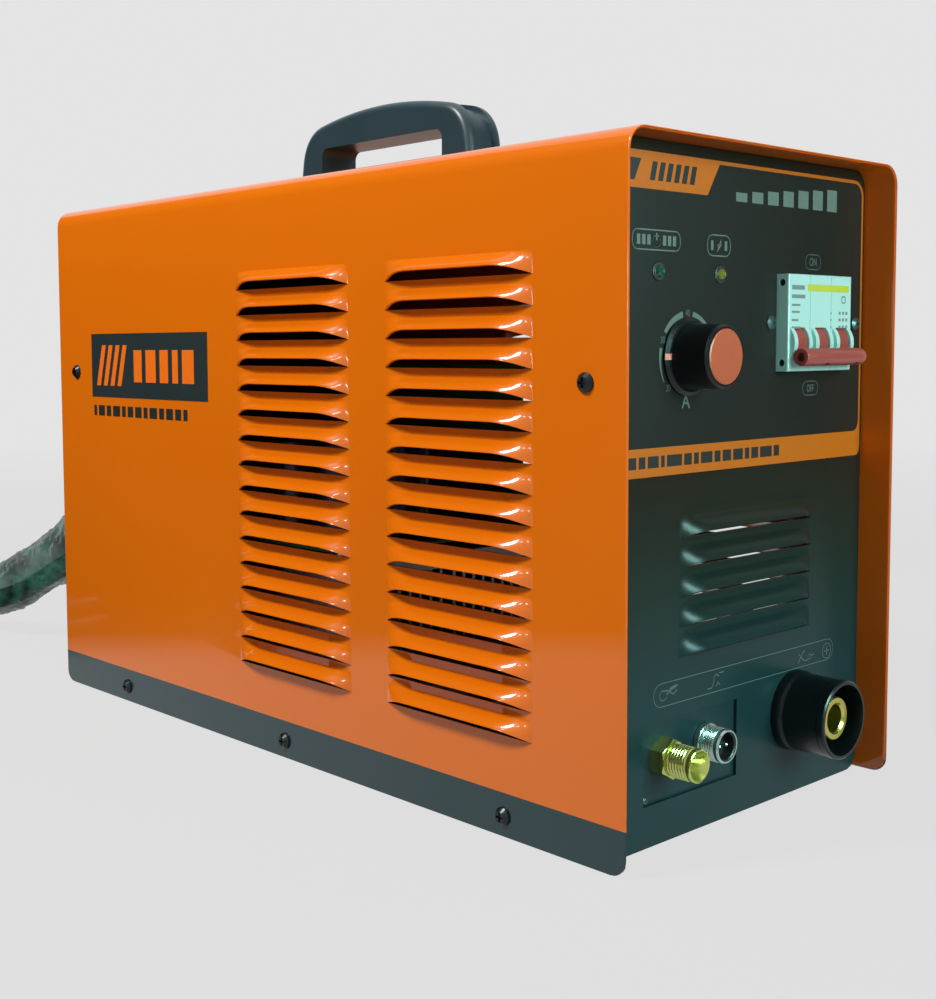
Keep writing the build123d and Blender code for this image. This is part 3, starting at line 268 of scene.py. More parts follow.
view = {"place": (-0.5268, -0.5784, 0.2164), "yaw": 42.265, "down": 4.22, "roll": -0.306,
        "lens": 49.63, "shiftX": 0.0465, "shiftY": -0.0526, "clip": (0.02, 60)}
yaw, down, roll = (radians(view[key]) for key in ("yaw", "down", "roll"))
ahead = Vector((sin(yaw) * cos(down), cos(yaw) * cos(down), -sin(down)))
level = Vector((cos(yaw), -sin(yaw), 0))
above = level.cross(ahead)
right = level * cos(roll) + above * sin(roll)
upright = above * cos(roll) - level * sin(roll)
lens = bpy.data.cameras.new("camera")
lens.lens, lens.shift_x, lens.shift_y = view["lens"], view["shiftX"], view["shiftY"]
lens.clip_start, lens.clip_end = view["clip"]
camera = newObject("camera", lens)
stand = Matrix((right, upright, -ahead)).transposed().to_4x4()
camera.matrix_world = Matrix.Translation(view["place"]) @ stand
bpy.context.scene.camera = camera
print("camera set")

# studio

studio = {"background": tint(228, 228, 228), "ambient": 0.17, "floorAlbedo": tint(158, 158, 158),
          "floorGlow": 0.9, "floorHalf": 30, "fadeFrom": 0.8, "fadeTo": 2.4}
black = (0, 0, 0, 1)
bpy.context.scene.view_settings.view_transform = "Standard"
world = bpy.data.worlds.new("studio")
bpy.context.scene.world = world
world.use_nodes = True
sky = Graph(world.node_tree)
backdrop = sky.tree.nodes["Background"]
sky.feed(backdrop.inputs["Color"], studio["background"])
# a ray through glass counts as both glossy and transmitted, so the sum is held at 1
seen = sky.node("ShaderNodeMath", {"operation": "ADD", "use_clamp": True},
                {0: sky.ray("Camera") + sky.ray("Glossy"), 1: sky.ray("Transmission")})
sky.feed(backdrop.inputs["Strength"], seen * (1 - studio["ambient"]) + studio["ambient"])


def addStage(name, corners, finish, glossyOnly=False):
    mesh = bpy.data.meshes.new(name)
    mesh.from_pydata(corners, [], [(0, 1, 2, 3)])
    mesh.materials.append(finish.material)
    sheet = newObject(name, mesh)
    if glossyOnly:
        for kind in ("camera", "diffuse", "shadow", "transmission"):
            setattr(sheet, "visible_" + kind, False)


floorFinish = Finish("floor paper", base_color=studio["floorAlbedo"], roughness=0.9, specular_ior_level=0.1)
glow = floorFinish.node("ShaderNodeEmission", inputs={"Color": studio["background"], "Strength": 1.0})
distance = floorFinish.node("ShaderNodeVectorMath", {"operation": "LENGTH"}, {0: floorFinish.spot()}, 1)
fade = floorFinish.clamped(distance, studio["fadeFrom"], studio["fadeTo"])
seenShare = floorFinish.ray("Camera") + floorFinish.ray("Glossy")
mixed = floorFinish.node("ShaderNodeMixShader", inputs={
    0: seenShare * (fade * (1 - studio["floorGlow"]) + studio["floorGlow"]),
    1: Wire(floorFinish, floorFinish.shader.outputs[0]), 2: glow})
floorFinish.feed(floorFinish.tree.nodes["Material Output"].inputs["Surface"], mixed)
half = studio["floorHalf"]
addStage("floor", [(x, y, 0) for x, y in bar(-half, half, -half, half)], floorFinish)


# cards that show only as reflections: dark ones for contrast, bright ones as glints

def addCard(name, start, end, low, high, finish):
    (x0, y0), (x1, y1) = start, end
    addStage(name, [(x0, y0, low), (x1, y1, low), (x1, y1, high), (x0, y0, high)], finish, True)


def softCard(name, power, centre, half):
    # an emitter that fades towards its edges; centre and half are (along y, up) in metres
    made = Finish(name, base_color=black, emission_strength=power)
    along, up = (made.clamped(abs(axis - middle), reach, reach * 0.35)
                 for axis, middle, reach in zip(made.axes()[1:], centre, half))
    return made.set("emission_color", made.blend(along * up, black, (1, 1, 1, 1)))


darkCard = Finish("dark card", base_color=tint(18, 20, 20), roughness=1.0, specular_ior_level=0.0)
coolCard = Finish("cool card", base_color=black, emission_color=tint(176, 240, 236), emission_strength=48.0)
cardFoot = (Vector((-0.488, 0.076, 0)), Vector((-0.107, 0.4226, 0)))
addCard("left card", cardFoot[0].xy, cardFoot[1].xy, 0.0, 0.9, darkCard)
# the floor darkens towards the foot of the left card, so its reflection has no hard edge
apron = {"reach": 0.09, "lift": 0.0004, "share": 0.9}
apronFinish = Finish("apron", base_color=black, specular_ior_level=0.0, emission_strength=apron["share"])
across, deep = apronFinish.axes()[:2]
toCase = (cardFoot[1] - cardFoot[0]).cross(Vector((0, 0, 1))).normalized()
fromFoot = (across - cardFoot[0].x) * toCase.x + (deep - cardFoot[0].y) * toCase.y
apronFinish.set("emission_color", apronFinish.blend(
    apronFinish.clamped(fromFoot, 0.0, apron["reach"]), black, studio["background"]))
apronEdge = [foot + toCase * apron["reach"] for foot in cardFoot]
addStage("apron", [place + Vector((0, 0, apron["lift"])) for place in (
    cardFoot[0], apronEdge[0], apronEdge[1], cardFoot[1])], apronFinish, True)
addCard("front card", (-0.5, -0.62), (1.3, -0.62), 0.0, 1.2, darkCard)
strips = {"x": -0.9, "wide": 0.09, "power": 26.0,
          "heights": {"low left strip": (0.19, 0.35), "high left strip": (0.55, 0.71)}}
for name, (low, high) in strips["heights"].items():
    half = (strips["wide"] / 2, (high - low) / 2)
    addCard(name, (strips["x"], 0.0), (strips["x"], strips["wide"]), low, high,
            softCard(name, strips["power"], (half[0], (low + high) / 2), half))
addCard("front glint", (-0.11, -0.60), (0.06, -0.60), 0.20, 0.40, coolCard)


def addLight(name, place, target, size, power):
    lamp = bpy.data.lights.new(name, "AREA")
    lamp.shape = "RECTANGLE"
    lamp.size, lamp.size_y = size
    lamp.energy = power
    aim = (Vector(target) - Vector(place)).to_track_quat("-Z", "Y").to_matrix().to_4x4()
    newObject(name, lamp).matrix_world = Matrix.Translation(place) @ aim


lights = {
    "key": dict(place=(-1.15, 0.25, 1.45), target=(-0.1, 0, 0.15), size=(0.3, 0.3), power=31),
    "overhead": dict(place=(0.1, -0.1, 1.9), target=(0, 0, 0.2), size=(1.8, 1.8), power=5),
    "front soft box": dict(place=(0.15, -1.9, 0.75), target=(0, 0, 0.15), size=(1.2, 1.0), power=28),
}
for name, facts in lights.items():
    addLight(name, **facts)
print("studio lit")

# power lead

lead = {"width": 14 * mm, "length": 2.9,
        "out": [(-48, 261.5, 88), (-48, 287, 85), (-48.8, 316, 66.5), (-57, 355, 45.5), (-66, 389, 29),
                (-77, 427, 22.5), (-85.5, 454.5, 22.5)],
        "tail": [(-262, 393.7, 8.5), (-256.8, 343.7, 28), (-249.3, 308.7, 28)],
        "coil": (-172, 429.7), "inner": 62, "outer": 90, "low": 8.5, "high": 22.5,
        "turns": 5 + 164 / 360, "turnSteps": 16, "startAngle": 16, "dip": 5}


def coilPoints():
    # in along the upper layer to the middle, down, and out along the lower layer to the left side
    steps, inner, outer, low, high = (lead[key] for key in ("turnSteps", "inner", "outer", "low", "high"))
    middle = (inner + outer) / 2
    radii = [outer, middle, inner, inner, middle, outer, outer]
    points = []
    for step in range(1, int(steps * lead["turns"]) + 1):
        turn, share = divmod(step / steps, 1)
        start, end = radii[int(turn):int(turn) + 2]
        radius = start + (end - start) * share
        height = high if turn < 2 else low
        if turn == 2:
            radius -= lead["dip"] * sin(pi * share)
            height = high + (low - high) * share
        angle = radians(lead["startAngle"]) + 2 * pi * step / steps
        x, y = lead["coil"]
        points.append((x + radius * cos(angle), y + radius * sin(angle), height))
    return points


coilEnd = (lead["coil"][0] - lead["outer"], lead["coil"][1], lead["low"])
leadRoute = lead["out"] + coilPoints() + [coilEnd] + lead["tail"]
leadCurve = bpy.data.curves.new("power lead", "CURVE")
leadCurve.dimensions = "3D"
leadCurve.resolution_u = 8
leadSpline = leadCurve.splines.new("NURBS")
leadSpline.points.add(len(leadRoute) - 1)
for point, place in zip(leadSpline.points, leadRoute):
    point.co = (*[value * mm for value in place], 1)
leadSpline.order_u = 3
leadSpline.use_endpoint_u = True
leadPath = [vertex.co.copy() for vertex in settled(leadCurve).vertices]
leadCurve.bevel_depth = lead["width"] / 2
leadCurve.bevel_resolution = 6

rubber = grained("lead rubber", (60, 3), (22, 34, 38), (34, 50, 54), roughness=0.5, specular_ior_level=0.4)
rubber.relief(rubber.grain(900, 2) + rubber.grain(40, 2) * 2.0, 0.25, 0.0004)
leadCurve.materials.append(rubber.material)
dress(rubber, "strain_relief")
powerLead = newObject("power_lead", leadCurve)
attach(powerLead, "case")
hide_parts("power_cable", "cable_coil", "cable_tail")

# the crumpled film bag around the lead near the case, which hangs below it
film = {"start": 0.010, "end": 0.205, "steps": 170, "around": 72, "tall": (22.5, 17.5), "wide": 10.5,
        "lift": (9.5, 6.0), "clear": 8.4, "fold": 0.12, "crease": 0.12, "pleat": 0.07}
filmPath, travelled = [], 0
for before, here in zip(leadPath, leadPath[1:]):
    travelled += (here - before).length
    if film["start"] < travelled < film["end"]:
        filmPath.append((here, (here - before).normalized()))
filmPoints = []
for row in range(film["steps"]):
    share = row / (film["steps"] - 1)
    index = min(int(share * (len(filmPath) - 1)), len(filmPath) - 2)
    part = share * (len(filmPath) - 1) - index
    centre = filmPath[index][0].lerp(filmPath[index + 1][0], part)
    along = filmPath[index][1].lerp(filmPath[index + 1][1], part).normalized()
    side = along.cross(Vector((0, 0, 1))).normalized()
    rise = side.cross(along)
    swell = min(1, 0.45 + share * 4, 0.55 + (1 - share) * 3)      # gathered at both of its ends
    tall, lift = (first + (last - first) * share for first, last in (film["tall"], film["lift"]))
    for i in range(film["around"]):
        angle = 2 * pi * i / film["around"]
        across, up = cos(angle), sin(angle)
        fold = noise.noise(Vector((across * 1.6, up * 1.6, share * 9)))
        crease = abs(noise.noise(Vector((across * 4 + 7, up * 4, share * 22 + angle))))
        pleat = abs(noise.noise(Vector((across * 9, up * 9 + 3, share * 30))))
        size = swell * (1 + film["fold"] * fold) - film["crease"] * crease - film["pleat"] * pleat
        place = side * across * film["wide"] * mm * size + rise * (up * tall * size + lift * swell) * mm
        if place.length < film["clear"] * mm:      # stays outside the lead
            place = place.normalized() * film["clear"] * mm
        filmPoints.append(centre + place)
filmFinish = Finish("clear film", roughness=0.14, ior=1.45, specular_ior_level=0.6,
                    coat_weight=0.35, coat_roughness=0.05)
streaks = filmFinish.clamped(filmFinish.grain(190, 4, (1, 0.16, 0.3)), 0.36, 0.66)
filmFinish.set("base_color", filmFinish.blend(streaks, tint(14, 44, 44), tint(70, 126, 106)))
filmFinish.set("alpha", filmFinish.clamped(filmFinish.grain(120, 4, (1, 0.3, 0.5)), 0.30, 0.70) * 0.26 + 0.60)
filmFinish.relief(filmFinish.grain(170, 4, (1, 0.4, 0.6)), 0.9, 0.003)
filmMesh = meshOf(filmPoints, hoops(film["steps"], film["around"]))
leadFilm = addPiece("lead_film", filmMesh, filmFinish, bend=60)
tuple(v * mm for v in lead["out"][0])
print("power lead laid, points", len(leadRoute))

# cover

cover = {"sheet": 1.2 * mm, "bend": 10 * mm, "corner": 8 * mm, "louvreLength": 95 * mm,
         "columns": (-133.7 * mm, -12 * mm), "firstCut": 45.8 * mm, "pitch": 13.36 * mm, "count": 16,
         "rise": 9.8 * mm, "lift": 4.2 * mm, "depth": 6.8 * mm, "ramp": 21 * mm, "bandTop": 20.2 * mm,
         "cutRound": 0.4 * mm}
seam = 0.35 * mm      # a narrow strip round the louvres, which keeps the shading beside them flat
hoodSteps = (0, 0.06, 0.16, 0.3, 0.45, 0.6, 0.74, 0.86, 0.94, 1)
rampSteps = (0, 0.03, 0.08, 0.15, 0.24, 0.34, 0.46, 0.6, 0.75, 0.88, 1)


def hoodShape(share):
    # stand-off of a hood from its lip at 0 to the flat sheet at 1
    plain = 1 - share ** 1.55
    return plain * plain / (plain + 0.10) * 1.10


def rampShape(share):
    plain = 1 - (1 - max(0, min(1, share))) ** 2
    return plain * plain / (plain + 0.04) * 1.04


def louvreStations(sheet, low, high):
    # places along a sheet that follow every hood's sloping ends
    half, ramp = sheet["louvreLength"] / 2, sheet["ramp"]
    places = {low, high}
    for middle in sheet["columns"]:
        places.update((middle - half - seam, middle + half + seam))
        for share in rampSteps:
            places.update((middle - half + ramp * share, middle + half - ramp * share))
        places.update(middle - half + ramp + 2 * (half - ramp) * share for share in (0.2, 0.4, 0.6, 0.8))
    return sorted(places)


def plainRow(height, out=0):
    # a row's height and stand-off for a ramp value, and whether it joins the row below
    return (lambda ramp: (height, out), True)


def pressedRows(sheet):
    # rows of louvres from the bottom up, each cut free of the sheet below it
    rows = []
    for n in range(sheet["count"]):
        cut = sheet["firstCut"] + sheet["pitch"] * n
        rows.append(plainRow(cut))
        for share in hoodSteps:
            rows.append((lambda ramp, cut=cut, share=share: (
                cut + sheet["rise"] * share + sheet["lift"] * ramp * (1 - share),
                sheet["depth"] * ramp * hoodShape(share)), share > 0))
    return rows


def rampAt(place, sheet):
    reach = max(sheet["louvreLength"] / 2 - abs(place - middle) for middle in sheet["columns"])
    return rampShape(reach / sheet["ramp"]) if reach > 0 else 0


def rowFaces(joins, across, outward):
    # the quads from each joined row of a sheet to the one below; outward sets which way they face
    faces = []
    for row, joined in enumerate(joins):
        a, b = (row - 1) * across, row * across
        for i in range(across - 1 if row and joined else 0):
            quad = (a + i, b + i, b + i + 1, a + i + 1)
            faces.append(quad if outward else quad[:1] + quad[:0:-1])
    return faces


def coverShape():
    # one sheet: up the left wall, over the two bends and down the right wall
    edgeSteps = [step * mm for step in (0, 0.12, 0.4, 1, 2, 3.5, 5.5, 8)]
    inner = [y for y in louvreStations(cover, frontEdge, rearEdge)
             if frontEdge + edgeSteps[-1] < y < rearEdge - edgeSteps[-1]]
    stations = sorted(set([frontEdge + s for s in edgeSteps] + [rearEdge - s for s in edgeSteps] + inner))
    low, bend, corner, cutRound = coverLow[2], cover["bend"], cover["corner"], cover["cutRound"]
    lastTop = cover["firstCut"] + cover["pitch"] * (cover["count"] - 1) + cover["rise"]
    rows = [plainRow(low + step * mm) for step in (0, 0.3, 0.8, 1.6, 2.8, 4.4, 6.2, 8)]
    rows += [plainRow(cover["firstCut"] - seam)] + pressedRows(cover)
    rows += [plainRow(lastTop + seam), plainRow(coverTop - bend)]
    half = [(*row, 0) for row in rows]
    for angle in (radians(turn) for turn in (15, 30, 45, 60, 75, 90)):
        half.append((*plainRow(coverTop - bend + bend * sin(angle), bend * cos(angle) - bend), angle))
    outline = [(-1, *part) for part in half] + [(1, *part) for part in reversed(half)]
    points = []
    for side, row, joined, angle in outline:
        for y in stations:
            # the cut edges are rounded
            inset = cutRound * max(0, 1 - min(y - frontEdge, rearEdge - y) / cutRound) ** 2
            height, out = row(rampAt(y, cover))
            clear = corner - sqrt(corner ** 2 - max(0, corner - (height - low)) ** 2)
            points.append((side * (halfWidth + out - inset * cos(angle)),
                           min(max(y, frontEdge + clear), rearEdge - clear), height - inset * sin(angle)))
    # on the way down the right wall a row is joined by the flag of the row that it came from
    joins = [(before if here[0] > 0 and not here[3] else here)[2]
             for before, here in zip(outline[:1] + outline, outline)]
    return points, rowFaces(joins, len(stations), True)


orangePaint = Finish("orange enamel", roughness=0.3, coat_weight=0.8, coat_roughness=0.03,
                     specular_ior_level=0.12)
px, py, pz = orangePaint.axes()
orangeTone = orangePaint.blend(orangePaint.grain(7, 2), tint(214, 104, 3), tint(220, 110, 5))
outside = abs(px) > halfWidth - 0.5 * mm
band = outside * (pz < cover["bandTop"])
# the inside of the case behind the front panel is painted a darker orange as painted shade, so the interior
# seen through the louvres reads dark
inside = (abs(px) < halfWidth - 0.6 * mm) * (pz < coverTop - cover["bend"] - 1 * mm)
inside = inside * (py > panelFace + 1 * mm)
orangeTone = orangePaint.blend(inside, orangeTone, tint(168, 76, 10))
orangePaint.set("base_color", orangePaint.blend(band, orangeTone, tint(14, 50, 54)))
orangePaint.relief(orangePaint.grain(260, 2), 0.012, 0.0003)
coverMesh = settled(meshOf(*coverShape()), cover["sheet"])
addPiece("case_cover", coverMesh, orangePaint,
         replaced=("cover_top", "cover_left", "cover_right"), bend=40)
print("cover pressed, faces", len(coverMesh.polygons))

# front panel

panel = {"sheet": 1.5 * mm, "louvreLength": 103 * mm, "columns": (5 * mm,), "firstCut": 80 * mm,
         "pitch": 13.1 * mm, "count": 5, "rise": 9.8 * mm, "lift": 2.6 * mm, "depth": 5.9 * mm,
         "ramp": 14 * mm, "flange": (24 * mm, 280 * mm),
         # outlines in mm
         "field": (-53, 63, 74, 148), "corner": 8.4, "connectorHole": (-70, -2.5, 18.5, 54),
         "breakerGap": 0.2, "knobHole": 3.7, "socketHole": 14, "lampHole": 4.1}


def roundBar(x0, x1, z0, z1, radius, steps=6):
    corners = []
    for cx, cz, turn in ((x1 - radius, z0 + radius, 270), (x1 - radius, z1 - radius, 0),
                         (x0 + radius, z1 - radius, 90), (x0 + radius, z0 + radius, 180)):
        for step in range(steps + 1):
            angle = radians(turn + 90 * step / steps)
            corners.append((cx + radius * cos(angle), cz + radius * sin(angle)))
    return corners


def ring(x, z, radius, steps=40):
    angles = [2 * pi * i / steps for i in range(steps)]
    return [(x + radius * cos(a), z + radius * sin(a)) for a in angles]


def boxOf(name):
    low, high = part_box(name)
    return low[0] / mm, high[0] / mm, low[2] / mm, high[2] / mm


def middleOf(name):
    x0, x1, z0, z1 = boxOf(name)
    return (x0 + x1) / 2, (z0 + z1) / 2


def cutSheet(loops, thickness, face):
    # a flat sheet with holes, its front at y = face
    curve = bpy.data.curves.new("outline", "CURVE")
    curve.dimensions = "2D"
    curve.fill_mode = "BOTH"
    curve.extrude = thickness / 2
    for corners in loops:
        spline = curve.splines.new("POLY")
        spline.points.add(len(corners) - 1)
        for point, (a, b) in zip(spline.points, inMetres(corners)):
            point.co = (a, b, 0, 1)
        spline.use_cyclic_u = True
    mesh = settled(curve)
    points = [(v.co.x, face + thickness / 2 - v.co.z, v.co.y) for v in mesh.vertices]
    return points, [tuple(p.vertices) for p in mesh.polygons]


def panelField():
    # the pressed part of the front panel
    x0, x1, z0, z1 = (value * mm for value in panel["field"])
    stations = louvreStations(panel, x0, x1)
    rows = [plainRow(z0)] + pressedRows(panel) + [plainRow(z1)]
    points = []
    for row, joined in rows:
        for x in stations:
            height, out = row(rampAt(x, panel))
            points.append((x, panelFace - out, height))
    faces = rowFaces([joined for row, joined in rows], len(stations), False)
    made = settled(meshOf(points, faces), panel["sheet"])
    return [v.co.copy() for v in made.vertices], [tuple(p.vertices) for p in made.polygons]


breakerX0, breakerX1, breakerZ0, breakerZ1 = 25.3, 79.3, 203.4, 248.4
panelX0, panelX1, panelZ0, panelZ1 = boxOf("front_panel")
knobX, knobZ = middleOf("knob")
gap = panel["breakerGap"]
panelLoops = [roundBar(panelX0, panelX1, panelZ0, panelZ1, panel["corner"]), bar(*panel["field"]),
              bar(breakerX0 - gap, breakerX1 + gap, breakerZ0 - gap, breakerZ1 + gap),
              bar(*panel["connectorHole"]), ring(knobX, knobZ, panel["knobHole"]),
              ring(*middleOf("work_socket_housing"), panel["socketHole"])]
panelLoops += [ring(*middleOf(name), panel["lampHole"]) for name in ("power_lamp", "fault_lamp")]
tealPaint = Finish("dark enamel", roughness=0.3, specular_ior_level=0.13)
# the enamel is painted bluer and lighter towards the bottom, a painted reflection of the pale floor
rise = tealPaint.clamped(tealPaint.axes()[2], 0.06, 0.16)
stops = ((0, tint(24, 60, 62)), (0.5, tint(28, 50, 44)), (1, tint(36, 39, 29)))
tealPaint.set("base_color", tealPaint.node("ShaderNodeValToRGB", {"stops": stops}, {0: rise}))
tealPaint.relief(tealPaint.grain(900, 2) + tealPaint.grain(200, 2), 0.06, 0.0003)
flanges = []
boxFaces = [(0, 1, 3, 2), (4, 6, 7, 5), (0, 4, 5, 1), (2, 3, 7, 6), (0, 2, 6, 4), (1, 5, 7, 3)]
foldFront, foldRear = panelFace + panel["sheet"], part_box("front_panel")[1][1]
for side in (-1, 1):
    x = side * panelX1 * mm
    corners = [(a, b, c) for a in (x, x - side * panel["sheet"]) for b in (foldFront, foldRear)
               for c in panel["flange"]]
    flanges.append((corners, boxFaces))
panelShape = merged(cutSheet(panelLoops, panel["sheet"], panelFace), panelField(), *flanges)
addPiece("front_sheet", meshOf(*panelShape), tealPaint, replaced=("front_panel",), bend=40)
dress(tealPaint, "rear_panel", "connector_plate")
print("front panel pressed")

# printing

inkThick = 0.05 * mm


def stroke(points, width, closed=False):
    # a thin ribbon along a line of points in mm, as quads that overlap a little
    ends = points[1:] + points[:1] if closed else points[1:]
    shapes = []
    for (x0, z0), (x1, z1) in zip(points, ends):
        length = hypot(x1 - x0, z1 - z0)
        if length == 0:
            continue
        dx, dz = (x1 - x0) / length * width, (z1 - z0) / length * width
        nx, nz, ex, ez = -dz / 2, dx / 2, dx * 0.25, dz * 0.25
        shapes.append([(x0 + nx - ex, z0 + nz - ez), (x0 - nx - ex, z0 - nz - ez),
                       (x1 - nx + ex, z1 - nz + ez), (x1 + nx + ex, z1 + nz + ez)])
    return shapes


def arc(x, z, radius, start, end, steps=24):
    angles = [radians(start + (end - start) * i / steps) for i in range(steps + 1)]
    return [(x + radius * cos(a), z + radius * sin(a)) for a in angles]


def frameLine(x0, x1, z0, z1, radius, width):
    return stroke(roundBar(x0, x1, z0, z1, radius), width, True)


def letters(text, x, z, height, wide, bold):
    # plain type centred on a point, as flat polygons in mm
    curve = bpy.data.curves.new("type", "FONT")
    curve.body = text
    curve.align_x, curve.align_y = "CENTER", "CENTER"
    curve.offset = bold
    mesh = settled(curve)
    low, high = (pick(v.co.y for v in mesh.vertices) for pick in (min, max))
    scale, middle = height / (high - low), (high + low) / 2
    places = [(x + v.co.x * scale * wide, z + (v.co.y - middle) * scale) for v in mesh.vertices]
    return [[places[i] for i in p.vertices] for p in mesh.polygons]


def printOn(name, shapes, finish, place, thick=inkThick):
    # place(x, z, out) puts a point of the print on its surface
    points, faces = [], []
    for shape in shapes:
        start, count = len(points), len(shape)
        area = sum(a[0] * b[1] - b[0] * a[1] for a, b in zip(shape, shape[1:] + shape[:1]))
        ordered = inMetres(shape if area > 0 else shape[::-1])
        points += [place(x, z, out) for out in (thick, 0) for x, z in ordered]
        faces += [tuple(range(start, start + count)), *walls(start, count)]
    mesh = bpy.data.meshes.new(name)
    mesh.from_pydata(points, [], faces)
    mesh.update()
    return addPiece(name, mesh, finish, bend=0)


def dashes(x, widths, cut, space, z0, z1):
    # a row of bars, each shorter than its width by the cut
    row = []
    for wide in widths:
        row.append(bar(x, x + wide - cut, z0, z1))
        x += wide + space
    return row


def onFront(face):
    return lambda x, z, out: (x, face - out, z)


def printFinish(name, tone, rough=0.45):
    colour = tint(*tone)
    made = Finish(name, roughness=rough, specular_ior_level=0.2)
    lighter = (*(min(1, part * 1.12) for part in colour[:3]), 1)
    return made.set("base_color", made.blend(made.grain(300, 2), colour, lighter))


orangeInk = printFinish("orange print", (178, 104, 10))
paleInk = printFinish("pale print", (92, 122, 113))
darkInk = printFinish("dark print", (34, 42, 38))
dullInk = printFinish("dull print", (74, 96, 90))
dress(grained("label film", (12, 2), (24, 31, 26), (29, 37, 31), ((1500, 1), 0.04, 0.0002),
              roughness=0.36, specular_ior_level=0.3), "front_label")

labelX0, labelX1, labelZ0, labelZ1 = boxOf("front_label")
bandTop, lineWidth = labelZ0 + 12.2, 1.6
tab = [(labelX0, 280.5), (-29, 280.6), (-19.4, labelZ1), (labelX0 + 4, labelZ1),
       (labelX0 + 1.2, labelZ1 - 1.2), (labelX0, labelZ1 - 4)]
border = [(-19.4, labelZ1)] + arc(labelX1 - 8, labelZ1 - 8, 8, 90, 0, 8)
border += arc(labelX1 - 4, labelZ0 + 4, 4, 0, -90, 6) + arc(labelX0 + 4, labelZ0 + 4, 4, 270, 180, 6)
border += [(labelX0, bandTop)] + arc(labelX1 - lineWidth - 5, bandTop + 5, 5, 270, 360, 8)
border += arc(labelX1 - 8, labelZ1 - 8, 8 - lineWidth, 0, 90, 8) + [(-20.6, labelZ1 - lineWidth)]
printOn("label_orange", [tab, border], orangeInk, onFront(labelFace))

# plain bars on the tab and along the band, in place of wording
darkShapes = [[(x, 284.2), (x + 3.4, 284.2), (x + 5.4, 292), (x + 2.0, 292)]
              for x in (-69 + 5.4 * i for i in range(6))]
darkShapes.append([(-88, 283.6), (-79, 283.6), (-74.5, 292.6), (-83.5, 292.6)])
darkShapes += dashes(-96, (9, 5, 7, 6, 9, 4, 12, 7, 5, 10, 6, 8, 9, 5, 7, 11, 6), 1.6, 0,
                     labelZ0 + 3.7, labelZ0 + 8.7)
printOn("label_dark", darkShapes, darkInk, onFront(labelFace - inkThick), 0.03 * mm)

paleShapes = frameLine(-80, -48, 255.6, 263.8, 3.2, 0.55) + frameLine(-28.7, -11.9, 254.8, 263.8, 3.6, 0.55)
# the power sign, the bars beside it and a flash
paleShapes += stroke(arc(-64, 259.4, 2.3, -240, 60), 0.8) + stroke([(-64, 259.8), (-64, 262.4)], 0.8)
paleShapes += [bar(x - 1.1, x + 1.1, 257.6, 261.8) for x in (-76, -72.6, -69.2, -58.8, -55.4, -52)]
paleShapes += [[(-20.9, 259.0), (-18.6, 262.4), (-18.9, 259.9)],
               [(-21.1, 259.0), (-18.9, 259.6), (-19.6, 259.9)],
               [(-21.9, 259.1), (-18.3, 259.9), (-18.7, 260.1), (-21.0, 259.9)],
               [(-18.2, 259.8), (-21.9, 256.2), (-20.9, 258.9)]]
paleShapes += [bar(x - 0.9, x + 0.9, 257.2, 261.4) for x in (-25.3, -15.2)]
dullShapes = frameLine(48.5, 61.6, 251.4, 258.3, 3.2, 0.45) + letters("ON", 55.05, 254.85, 3.9, 0.75, 0.012)
dullShapes += frameLine(47.6, 60.7, 191.7, 198.3, 3.1, 0.45) + letters("OFF", 54.15, 195.0, 3.6, 0.7, 0.012)
paleShapes += letters("A", -43.2, 191.8, 6.0, 1.0, 0.02)
paleShapes += [bar(-8 + 12.4 * i, -8 + 12.4 * i + 8.6, 279.4, 283.4 + 1.05 * i) for i in range(7)]

# the dial: numbers clockwise, joined by arcs that grow wider
dial = {"numberRadius": 18.7, "numberHeight": 3.0, "arcRadius": 19.6, "gap": 11, "steps": 14,
        "numbers": ((20, -135), (30, -67.5), (40, 0), (50, 67.5), (60, 135)),
        "widths": (0.5, 1.9, 3.0, 4.4, 5.5)}


def onDial(radius, turn):
    # a place at a turn in degrees, clockwise from the top
    angle = radians(90 - turn)
    return knobX + radius * cos(angle), knobZ + radius * sin(angle)


for number, turn in dial["numbers"]:
    dullShapes += letters(str(number), *onDial(dial["numberRadius"], turn), dial["numberHeight"], 0.8, 0.012)
turns = [turn for number, turn in dial["numbers"]]
for i in range(len(turns) - 1):
    start, end = turns[i] + dial["gap"], turns[i + 1] - dial["gap"]
    thin, wide = dial["widths"][i:i + 2]
    outer, inner = [], []
    for step in range(dial["steps"] + 1):
        share = step / dial["steps"]
        outer.append(onDial(dial["arcRadius"], start + (end - start) * share))
        inner.append(onDial(dial["arcRadius"] - thin - (wide - thin) * share, start + (end - start) * share))
    paleShapes += [[outer[s], outer[s + 1], inner[s + 1], inner[s]] for s in range(dial["steps"])]
printOn("label_pale", paleShapes, paleInk, onFront(labelFace))
printOn("label_dull", dullShapes, dullInk, onFront(labelFace))

